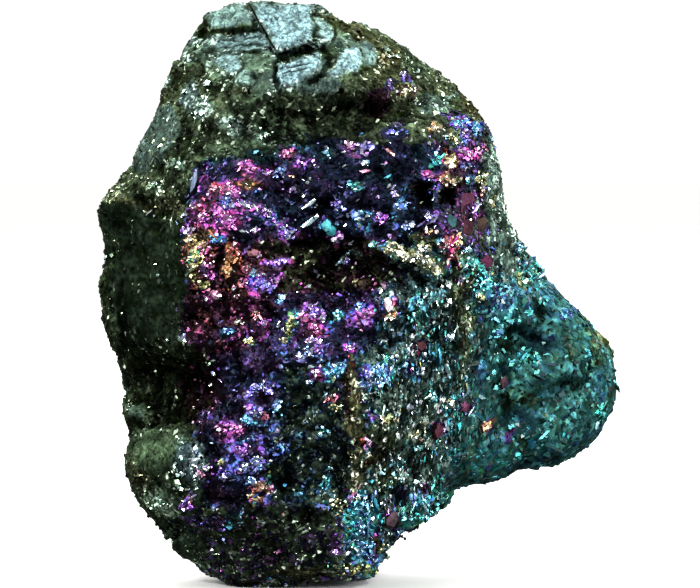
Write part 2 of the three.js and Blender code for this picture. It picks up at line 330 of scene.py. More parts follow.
# Smooth plates: outline in the view, tilt right, tilt up, outwards (mm), how flat, ripples, polish, light (on some
# plates painted highlight, on others painted shade, as marked), hue (None: as round it).
PLATES = [
    # cap, from the top left
    ([(206, 21), (213, 11), (226, 5), (247, 4), (250, 12), (256, 23), (240, 23), (224, 26), (211, 26)], -0.10, 0.10, 0.06, 0.8, 0, 1.0, 0.66, 0.15),
    ([(216, 35), (238, 31), (260, 29), (268, 38), (276, 47), (254, 49), (230, 48), (216, 45)], -0.05, 0.06, -0.06, 0.8, 0, 1.0, 0.58, 0.05),
    ([(216, 55), (228, 51), (240, 56), (240, 66), (230, 72), (218, 66)], -0.10, 0.05, -0.02, 0.7, 0, 0.9, 0.72, 0.05),
    ([(233, 72), (246, 69), (252, 77), (245, 86), (235, 83)], -0.05, 0.22, 0.08, 0.85, 0, 1.0, 0.95, 0.20),
    ([(242, 54), (272, 51), (275, 66), (262, 74), (250, 70), (241, 64)], 0.0, 0.02, -0.10, 0.4, 3, 0.6, 0.40, 0.35),
    ([(253, 77), (266, 75), (272, 88), (262, 95), (251, 90)], 0.0, 0.05, -0.03, 0.6, 0, 0.7, 0.42, 0.35),
    ([(257, 9), (266, 4), (300, 3), (314, 6), (317, 14), (313, 26), (311, 39), (302, 44), (290, 47), (277, 51), (273, 43), (265, 26)], 0.02, 0.12, 0.12, 0.8, 0, 1.0, 0.86, 0.0),
    ([(319, 17), (326, 13), (333, 20), (333, 36), (327, 40), (320, 35)], 0.15, 0.14, 0.02, 0.8, 0, 1.0, 0.85, 0.10),
    # Partly painted highlight: these two brightest cap plates have their light raised above 1.
    ([(279, 63), (292, 60), (306, 55), (319, 49), (321, 58), (314, 68), (305, 75), (299, 86), (290, 91), (281, 88), (277, 79)], 0.0, 0.30, 0.16, 0.9, 1, 1.0, 1.12, 0.0),
    ([(338, 60), (345, 50), (354, 47), (359, 57), (361, 68), (351, 74), (343, 73), (336, 69)], 0.05, 0.33, 0.12, 0.9, 0, 1.0, 1.18, 0.0),
    ([(359, 43), (372, 41), (380, 53), (374, 66), (363, 69), (360, 55)], 0.20, 0.22, 0.02, 0.7, 2, 0.9, 0.60, 0.10),
    ([(328, 72), (338, 67), (345, 75), (334, 81)], 0.0, 0.20, 0.05, 0.8, 0, 1.0, 0.70, 0.05),
    # Painted shade: the plate under the cap's lip is set dark.
    ([(306, 78), (336, 80), (345, 84), (328, 92), (306, 94), (300, 88)], 0.05, -0.20, -0.06, 0.7, 0, 0.9, 0.17, 0.20),
    ([(338, 30), (350, 36), (346, 42), (338, 38)], 0.1, 0.15, 0.05, 0.8, 0, 0.9, 0.70, 0.40),
    # left side
    # Painted dark reflection: the left block is set dark.
    (LEFT_BLOCK, 0.0, 0.0, -0.10, 0.50, 0, 0.50, 0.090, 0.42),
    ([(124, 168), (150, 108), (166, 98), (176, 118), (172, 150), (160, 162), (138, 176)], -0.15, 0.0, 0.0, 0.6, 0, 0.75, 0.30, 0.15),
    ([(128, 438), (140, 431), (158, 431), (171, 438), (179, 451), (174, 466), (160, 474), (143, 473), (131, 466), (126, 452)], -0.10, 0.08, 0.08, 0.82, 0, 0.95, 0.27, 0.50),
    ([(125, 407), (134, 403), (141, 410), (136, 418), (127, 418)], -0.20, 0.15, 0.05, 0.8, 0, 1.0, 0.30, 0.35),
    ([(180, 445), (199, 440), (207, 455), (201, 477), (191, 478), (183, 462)], 0.15, 0.05, 0.05, 0.5, 0, 0.25, 0.55, 0.0),
    # right side
    ([(488, 150), (500, 150), (509, 200), (518, 240), (506, 250), (496, 210), (492, 180)], 0.1, 0.0, 0.0, 0.6, 0, 0.6, 0.58, 0.20),
    ([(456, 197), (468, 192), (476, 200), (470, 209), (458, 212)], 0.1, 0.05, 0.05, 0.8, 0, 0.8, None, None),
    ([(458, 221), (474, 219), (484, 224), (480, 236), (462, 236)], 0.15, -0.05, 0.0, 0.8, 0, 0.8, None, None),
    ([(386, 511), (396, 507), (401, 520), (400, 529), (386, 527)], 0.2, 0.0, 0.05, 0.8, 0, 0.8, None, None),
]
# On the receding right-hand side they wander with depth.
receding = smoothstep(440, 480, u) * smoothstep(-5.5, -1.0, V[:, 1])
v_side = v_ + receding * (noise(V, 2.6, 88) * 70 + noise(V, 1.1, 89) * 30)
patchy = 1 - receding * smoothstep(0.0, 0.25, fbm(V, 2.2, 330, 2))
plates = [polygon(*shaken(V, u, v_side, 2.0, 1.5, 55) if p[0] is not LEFT_BLOCK else shaken(V, u, v_, 9.0, 6.0, 57), p[0], 3.0) * front * patchy for p in PLATES]
BLOCK_AT = next(k for k, p in enumerate(PLATES) if p[0] is LEFT_BLOCK)
smooth = np.maximum.reduce([w * p[6] for w, p in zip(plates, PLATES)])
# The back lobe and the strip beside it: rounder and softer than the tarnished face.
LOBE = [(470, 330), (500, 288), (552, 282), (640, 320), (640, 430), (600, 480), (500, 500), (448, 500), (440, 470), (455, 430), (468, 390)]
soft = polygon(*shaken(V, u, v_, 10.0, 4.0, 58), LOBE, 34.0) * (0.75 + 0.25 * front)

relief = np.zeros(len(V))
# Hollows and swellings, in millimetres outwards.
for cu, cv, ru, rv, turn, out, edge in (
    (330, 114, 90, 22, -6, -0.85, 0.8),
    (400, 106, 45, 20, -4, -0.35, 0.8),
    (300, 92, 100, 10, -4, 0.30, 1.0),
    (320, 262, 42, 18, 8, -0.55, 0.9),
    (352, 272, 34, 17, -4, -0.55, 0.9),
    (298, 274, 22, 14, 0, -0.30, 0.9),
    (405, 280, 34, 9, 8, -0.55, 0.8),
    (158, 392, 50, 32, 8, -1.15, 0.8),
    (122, 206, 14, 14, 0, 0.30, 0.8),
    (158, 462, 34, 38, -15, 0.40, 0.8),
    (310, 324, 18, 15, -20, 0.55, 0.8),
    (366, 317, 15, 12, 20, 0.45, 0.8),
    (390, 306, 8, 18, 0, 0.50, 0.7),
    (313, 353, 21, 15, -15, 0.50, 0.8),
    (343, 373, 12, 9, -20, 0.35, 0.8),
    (376, 381, 16, 15, 0, 0.40, 0.8),
    (330, 398, 10, 8, 0, 0.30, 0.8),
    (312, 470, 32, 72, 0, -0.60, 0.5),
    (262, 398, 9, 8, 0, -0.45, 0.6),
    (262, 398, 22, 18, 0, 0.35, 0.6),
    (240, 465, 28, 18, 0, 0.35, 0.8),
    (228, 428, 24, 14, 0, 0.25, 0.8),
    (215, 322, 34, 18, 0, -0.50, 0.8),
    (218, 212, 24, 24, 0, 0.30, 0.8),
    (200, 262, 14, 30, 0, 0.25, 0.8),
    (262, 285, 20, 22, 0, 0.35, 0.8),
    (465, 130, 18, 10, 0, 0.30, 0.8),
    (470, 155, 16, 9, 0, 0.25, 0.8),
    (478, 275, 16, 28, 0, 0.30, 0.8),
    (450, 250, 8, 26, 0, 0.25, 0.7),
    (428, 505, 26, 22, -15, 0.45, 0.6),
    (392, 470, 10, 60, 4, -0.40, 0.7),
    (430, 400, 12, 70, 6, -0.30, 0.8),
    (512, 338, 10, 16, 20, -0.45, 0.9),
    (542, 312, 9, 16, -10, -0.40, 0.9),
    (536, 345, 16, 12, 0, -0.25, 0.9),
    (560, 395, 26, 14, -25, -0.40, 0.8),
    (500, 400, 12, 30, 10, -0.35, 0.8),
    (545, 325, 20, 12, 20, 0.35, 0.8),
    (592, 340, 14, 24, 10, 0.25, 0.8),
    (488, 455, 24, 22, 0, 0.40, 0.8),
    (250, 550, 60, 20, 5, -0.30, 0.8),
    (185, 505, 14, 12, 0, 0.35, 0.8),
    (562, 456, 30, 18, -28, 0.45, 0.9),
    (146, 520, 14, 30, 28, 0.50, 0.9),
    (378, 34, 18, 10, 30, 0.22, 0.9),
    (440, 66, 16, 10, 30, 0.25, 0.9),
):
    relief += out * spot(uw, vw, cu, cv, ru, rv, turn, edge=edge)
relief += 0.60 * line_mask(uw, vw, [(376, 244), (400, 248), (432, 268)], 11)
relief += 0.70 * line_mask(uw, vw, [(352, 360), (355, 400), (352, 440), (351, 480), (353, 505)], 10) * smoothstep(515, 490, vw)
# Cracks and ledges across the cap.
uc, vc = shaken(V, u, v_, 1.5, 1.2, 56)
CRACKS = (
    ([(194, 32), (208, 30), (222, 29), (240, 27), (258, 25)], 3.8, 0.45),
    ([(228, 50), (246, 51), (262, 50), (276, 53)], 2.0, 0.20),
    ([(324, 44), (329, 58), (322, 72), (312, 80)], 5.5, 0.40),
    ([(316, 22), (312, 34), (314, 44)], 2.4, 0.16),
    ([(336, 16), (338, 28), (332, 44)], 3.0, 0.25),
    ([(275, 60), (274, 78), (280, 93), (292, 95)], 2.8, 0.35),
    ([(241, 56), (242, 66), (234, 74)], 1.8, 0.20),
    ([(252, 70), (256, 82), (248, 92)], 2.2, 0.25),
    ([(190, 50), (198, 40), (200, 26)], 5.0, 0.35),
)
crack = np.zeros(len(V))
for points, width, depth in CRACKS:
    w = line_mask(uc, vc, points, width)
    relief -= depth * w
    crack = np.maximum(crack, w * min(1, depth * 2))
PITS = (
    ([(415, 183), (429, 184), (430, 209), (417, 207)], 1.0),
    ([(438, 189), (455, 190), (455, 205), (439, 204)], 1.0),
    ([(278, 52), (290, 49), (302, 46), (310, 43), (319, 44), (320, 48), (307, 52), (297, 55), (286, 59), (278, 60)], 0.85),
)
pits = [polygon(uc, vc, p, 2.5) * depth for p, depth in PITS]
pit = np.maximum.reduce(pits)
# The ledge along the upper edge of the tarnish.
EDGE = [(188, 205), (200, 187), (215, 172), (245, 161), (275, 151), (330, 141), (400, 127), (485, 122)]
gap, side = line_gap(uw, vw, EDGE)
relief += 0.45 * np.where(side < 0, smoothstep(46, 0, gap), -0.6 * smoothstep(14, 0, gap)) * smoothstep(180, 205, uw) * smoothstep(500, 470, uw)
# Its left edge, against the smooth block.
gap, side = line_gap(uw, vw, [(190, 205), (187, 240), (190, 300), (196, 345)])
relief += 0.30 * np.where(side < 0, smoothstep(26, 0, gap), 0) * smoothstep(198, 215, vw) * smoothstep(350, 320, vw)
relief *= front * (1 - 0.75 * smooth * (1 - np.minimum(pit * 1.4, 1)))


def steps(x, p, seed, share=0.75):
    """Shelves one unit apart: each swells slowly, then drops back at once."""
    t = x + 0.55 * noise(p, 2.4, seed) + 0.30 * noise(p, 0.9, seed + 1)
    t = t - np.floor(t)
    return np.where(t < share, t / share, (1 - t) / (1 - share))


shelf = front * np.maximum(
    0.8 * spot(uw, vw, 340, 195, 105, 58, -4, edge=0.6),
    1.3 * spot(uw, vw, 305, 480, 48, 85, edge=0.6),
)
flute = front * np.maximum(spot(uw, vw, 418, 420, 58, 155, 4, edge=0.6), spot(uw, vw, 372, 500, 26, 80, edge=0.6))
relief += 0.22 * shelf * (steps(V[:, 2] / 0.85 + 0.10 * V[:, 0], V, 31) - 0.5)
relief += 0.20 * flute * (steps(V[:, 0] / 0.70 + 0.12 * V[:, 2] + 0.3 * V[:, 1], V, 34) - 0.5)

rough = (1 - 0.93 * smooth) * (1 - 0.55 * soft)
grain = fbm(V, 3.0, 1, 3) * 0.34 + fbm(V, 0.8, 5, 3) * 0.20 * rough
V = V + N0 * (relief + grain * (1 - 0.5 * smooth))[:, None]
# Straight back from the eye, so that a ledge stays crisp.
V = V - BACK * (pit * front)[:, None]


def plane_off(v, f, name, tilt, step, share, seed, most=0.35):
    """Moves each cell's vertices towards one plane, a little tilted and stepped, as a fracture leaves them."""
    ids, inverse = np.unique(name, return_inverse=True)
    inverse = inverse.reshape(-1)
    count = np.bincount(inverse)
    n = normals(v, f)
    c = np.stack([np.bincount(inverse, v[:, k]) / count for k in range(3)], 1)
    m = np.stack([np.bincount(inverse, n[:, k]) for k in range(3)], 1)
    m /= np.maximum(np.linalg.norm(m, axis=1, keepdims=True), 1e-9)
    code = np.stack([ids, ids * 7 + 1, ids * 13 + 5], 1)
    r = np.stack([lattice(code, seed + k) for k in range(4)], 1) - 0.5
    m = m + r[:, :3] * 2 * tilt
    m /= np.linalg.norm(m, axis=1, keepdims=True)
    off = ((v - c[inverse]) * m[inverse]).sum(1)
    move = np.clip(-off, -most, most) + step * 2 * r[inverse, 3]
    return v + m[inverse] * (move * share)[:, None]


jit = np.stack([noise(V, 0.9, 70 + k) for k in range(3)], 1)
groove = np.zeros(len(V))
for size, seed, width, depth in ((2.3, 3, 0.20, 0.26), (1.0, 4, 0.10, 0.12)):
    _, _, gap = cells(V + 0.3 * jit, size, seed)
    groove += depth * smoothstep(width, 0.02, gap) * rough
V = V - N0 * groove[:, None]
name, _, _ = cells(V + 0.35 * jit, 2.0, 3)
V = plane_off(V, F, name, 0.20, 0.14, 0.70 * rough, 11, 0.45)
name, _, _ = cells(V + 0.2 * jit, 0.9, 4)
V = plane_off(V, F, name, 0.30, 0.07, 0.75 * rough, 12, 0.25)
name, _, _ = cells(V + 0.1 * jit, 0.42, 5)
V = plane_off(V, F, name, 0.42, 0.035, 0.85 * rough, 13, 0.14)
name, _, _ = cells(V, 0.22, 6)
V = plane_off(V, F, name, 0.40, 0.012, 0.55 * rough * (0.25 + 0.75 * front), 14, 0.07)

for (outline, right, up, out, flat, ripple, *_), w in zip(PLATES, plates):
    core = w > 0.5
    if core.sum() < 10:
        continue
    c = V[core].mean(0)
    m = normals(V, F)[core].mean(0)
    m /= np.linalg.norm(m)
    m = m + np.array([right, 0, up])
    m /= np.linalg.norm(m)
    off = np.clip((V - c) @ m, -0.6, 0.6)
    wave = out + 0.05 * noise(V, 1.3, 90) * (1 - flat) * 4 + 0.012 * noise(V, 0.35, 91)
    if ripple == 1:  # shell-like rings
        r = np.hypot(u - 290, (v_ - 96) * 1.1)
        wave = wave + 0.035 * np.sin(r * 0.85 + 1.5 * noise(V, 0.8, 92)) - 0.0006 * (r - 25) ** 2 * 0.5
    if ripple == 2:  # fine ribs
        wave = wave + 0.04 * np.sin((u * 0.6 - v_ * 0.30) * 1.1 + noise(V, 0.8, 93))
    if ripple == 3:  # wavy layers
        wave = wave + 0.07 * np.sin(v_ * 0.75 + 2.5 * noise(V, 0.9, 94))
    V = V + m * ((wave - off * flat) * w * (1 - np.minimum(pit * 1.4, 1)))[:, None]

# Beaten look of the plates, and fine lines scored in them.
high = smooth * spot(u, v_, 290, 45, 120, 60, edge=0.3)
for size, seed, tilt, depth in ((0.62, 8, 0.13, 0.05), (0.30, 9, 0.12, 0.03)):
    name, _, gap = cells(V + 0.5 * size * jit, size, seed, (1, 2.4, 1))
    V = plane_off(V, F, name, tilt, 0.008, 0.85 * high, seed + 10, 0.10)
    V = V - N0 * (depth * smoothstep(0.10 * size / 0.3, 0.0, gap) * high * smoothstep(-0.35, 0.25, noise(V, 1.1, seed)))[:, None]
SCORES = (
    ([(249, 5), (254, 16), (260, 26), (268, 38), (276, 51)], 1.4, 0.10),
    ([(279, 66), (292, 66), (307, 60)], 1.9, 0.14),
    ([(283, 74), (296, 72), (306, 66)], 1.5, 0.10),
    ([(217, 44), (240, 41), (262, 43)], 1.6, 0.07),
    ([(222, 36), (240, 36), (258, 33)], 1.6, 0.06),
    ([(310, 8), (309, 20), (313, 30)], 1.4, 0.04),
)
for points, width, depth in SCORES:
    w = line_mask(uc, vc, points, width) * front
    V = V - N0 * (depth * w)[:, None]
    crack = np.maximum(crack, w * min(1, depth * 5))

# The outline seen from the front, brought to the photo's: height in the view, left edge, right edge.
OUTLINE = np.array(
    [
        (10, 209, 329), (30, 195, 376), (50, 183, 411), (70, 170, 439), (90, 162, 461), (110, 157, 478), (130, 146, 491),
        (150, 136, 496), (170, 126, 501), (188, 110, 503), (200, 101, 504), (215, 97, 508), (235, 102, 518), (250, 105, 528),
        (265, 104, 540), (285, 98, 551), (300, 100, 568), (320, 102, 590), (335, 106, 603), (350, 113, 612), (370, 119, 615),
        (390, 124, 617), (405, 122, 614), (420, 123, 608), (432, 128, 602), (440, 130, 595), (448, 126, 588), (460, 124, 568),
        (470, 125, 545), (480, 128, 505), (490, 132, 458), (505, 138, 448), (515, 149, 436), (521, 162, 424), (535, 165, 409),
        (546, 168, 392), (553, 175, 388), (562, 187, 384), (572, 204, 372),
    ],
    float,
)
u, v_ = seen_at(V)
bins = np.arange(0, 600, 6.0)
which = np.clip((v_ / 6).astype(int), 0, len(bins) - 1)
left_now, right_now = np.full(len(bins), np.inf), np.full(len(bins), -np.inf)
np.minimum.at(left_now, which, u)
np.maximum.at(right_now, which, u)
known = np.isfinite(left_now) & np.isfinite(right_now)
row = bins[known] + 3
fixes = []
for now, column, sign in ((left_now[known], 1, 1), (right_now[known], 2, -1)):
    goal = np.interp(row, OUTLINE[:, 0], OUTLINE[:, column])
    move = np.clip(goal - now, -16, 16) * smoothstep(-4, 14, row) * smoothstep(578, 560, row)
    move = np.convolve(np.pad(move, 1, mode="edge"), (0.2, 0.6, 0.2), "valid")
    inwards = sign * (u - np.interp(v_, row, now))
    fixes.append(np.interp(v_, row, move) * smoothstep(75, 4, inwards))
V[:, 0] += sum(fixes) / SCALE
u, v_ = seen_at(V)
V[:, 2] = np.maximum(V[:, 2], 0)
V[on_base, 2] = 0.0
# The underside rises a little towards its front right and left ends, unevenly, and rests on the rest.
lift = 0.42 * smoothstep(-3.8, -2.2, V[:, 0]) * smoothstep(0.5, -2.5, V[:, 1]) + 0.45 * smoothstep(-6.3, -7.5, V[:, 0])
lift += 0.30 * np.clip(noise(V, 1.4, 300) + 0.05, 0, 1) * smoothstep(-2.5, -4.8, V[:, 1])
V[:, 2] += lift * smoothstep(1.4, 0.0, V[:, 2])

# How far each place lies below (above 0) or stands out from (under 0) what is round it, in mm.
broad = relaxed(V, F, 16)
cavity = ((broad - V) * N0).sum(1)
# Cracks and pits count as deeper, so the painted shade in hollows darkens them as well.
cavity += (0.20 * crack + 0.30 * pit) * front

# ---------------------------------------------------------------- what each place is like
# Film: 0 gold, 0.1 orange, 0.2 red, 0.37 magenta, 0.46 violet, 0.56 blue, 0.72 cyan, 0.8 teal, 0.88 green, 0.97 olive.
# centre, half sizes, film, tarnished or bare, light or dark (in places painted shade, as marked), bare hue (0
# blue-grey, 0.5 green-grey, 1 brown)
BROAD = (
    (285, 42, 105, 42, 0.80, 0.00, 0.45, 0.20),
    (400, 62, 60, 30, 0.97, 0.00, 0.25, 0.80),
    (440, 95, 40, 22, 0.95, 0.00, 0.33, 0.65),
    (185, 95, 40, 45, 0.90, 0.00, 0.28, 0.70),
    (140, 150, 40, 50, 0.90, 0.00, 0.36, 0.60),
    (240, 125, 58, 32, 0.90, 0.00, 0.31, 0.50),
    # Painted shade: the dark band under the cap's lip is set dark.
    (345, 112, 85, 22, 0.50, 0.05, 0.19, 0.60),
    # Painted dark reflection: the left block's face is set dark.
    (135, 268, 50, 72, 0.90, 0.00, 0.12, 0.58),
    # Painted shadow: the place low on the left is set dark as in a cast shadow.
    (150, 395, 55, 38, 0.30, 0.10, 0.11, 0.60),
    (150, 470, 42, 48, 0.90, 0.00, 0.40, 0.50),
    (216, 225, 30, 42, 0.37, 1.00, 0.54, 0.60),
    (212, 312, 36, 28, 0.27, 1.00, 0.30, 0.80),
    (320, 190, 90, 42, 0.61, 1.00, 0.13, 0.40),
    (400, 195, 42, 42, 0.64, 1.00, 0.14, 0.40),
    # Painted shade: the hollow below the middle is set dark.
    (330, 268, 58, 26, 0.30, 0.45, 0.17, 0.70),
    (330, 320, 52, 24, 0.54, 1.00, 0.26, 0.50),
    (465, 180, 24, 60, 0.46, 0.70, 0.34, 0.40),
    (425, 320, 42, 60, 0.76, 0.48, 0.54, 0.15),
    (450, 455, 18, 34, 0.78, 0.75, 0.85, 0.25),
    (405, 450, 36, 92, 0.77, 0.38, 0.58, 0.25),
    (235, 430, 38, 58, 0.54, 1.00, 0.24, 0.60),
    (310, 450, 42, 62, 0.68, 0.45, 0.31, 0.35),
    (260, 545, 110, 34, 0.48, 0.46, 0.40, 0.52),
    (370, 532, 20, 38, 0.71, 0.50, 0.94, 0.30),
    (418, 516, 26, 20, 0.78, 0.85, 1.40, 0.25),
    (460, 312, 9, 52, 0.97, 0.35, 0.46, 0.75),
    (381, 455, 11, 42, 0.97, 0.35, 0.50, 0.75),
    (505, 200, 15, 56, 0.80, 0.15, 0.62, 0.25),
    (530, 300, 50, 22, 0.765, 1.00, 0.58, 0.20),
    (560, 360, 50, 42, 0.805, 1.00, 0.44, 0.30),
    (530, 440, 72, 34, 0.79, 1.00, 0.60, 0.30),
    (604, 345, 12, 40, 0.92, 0.80, 0.58, 0.60),
)
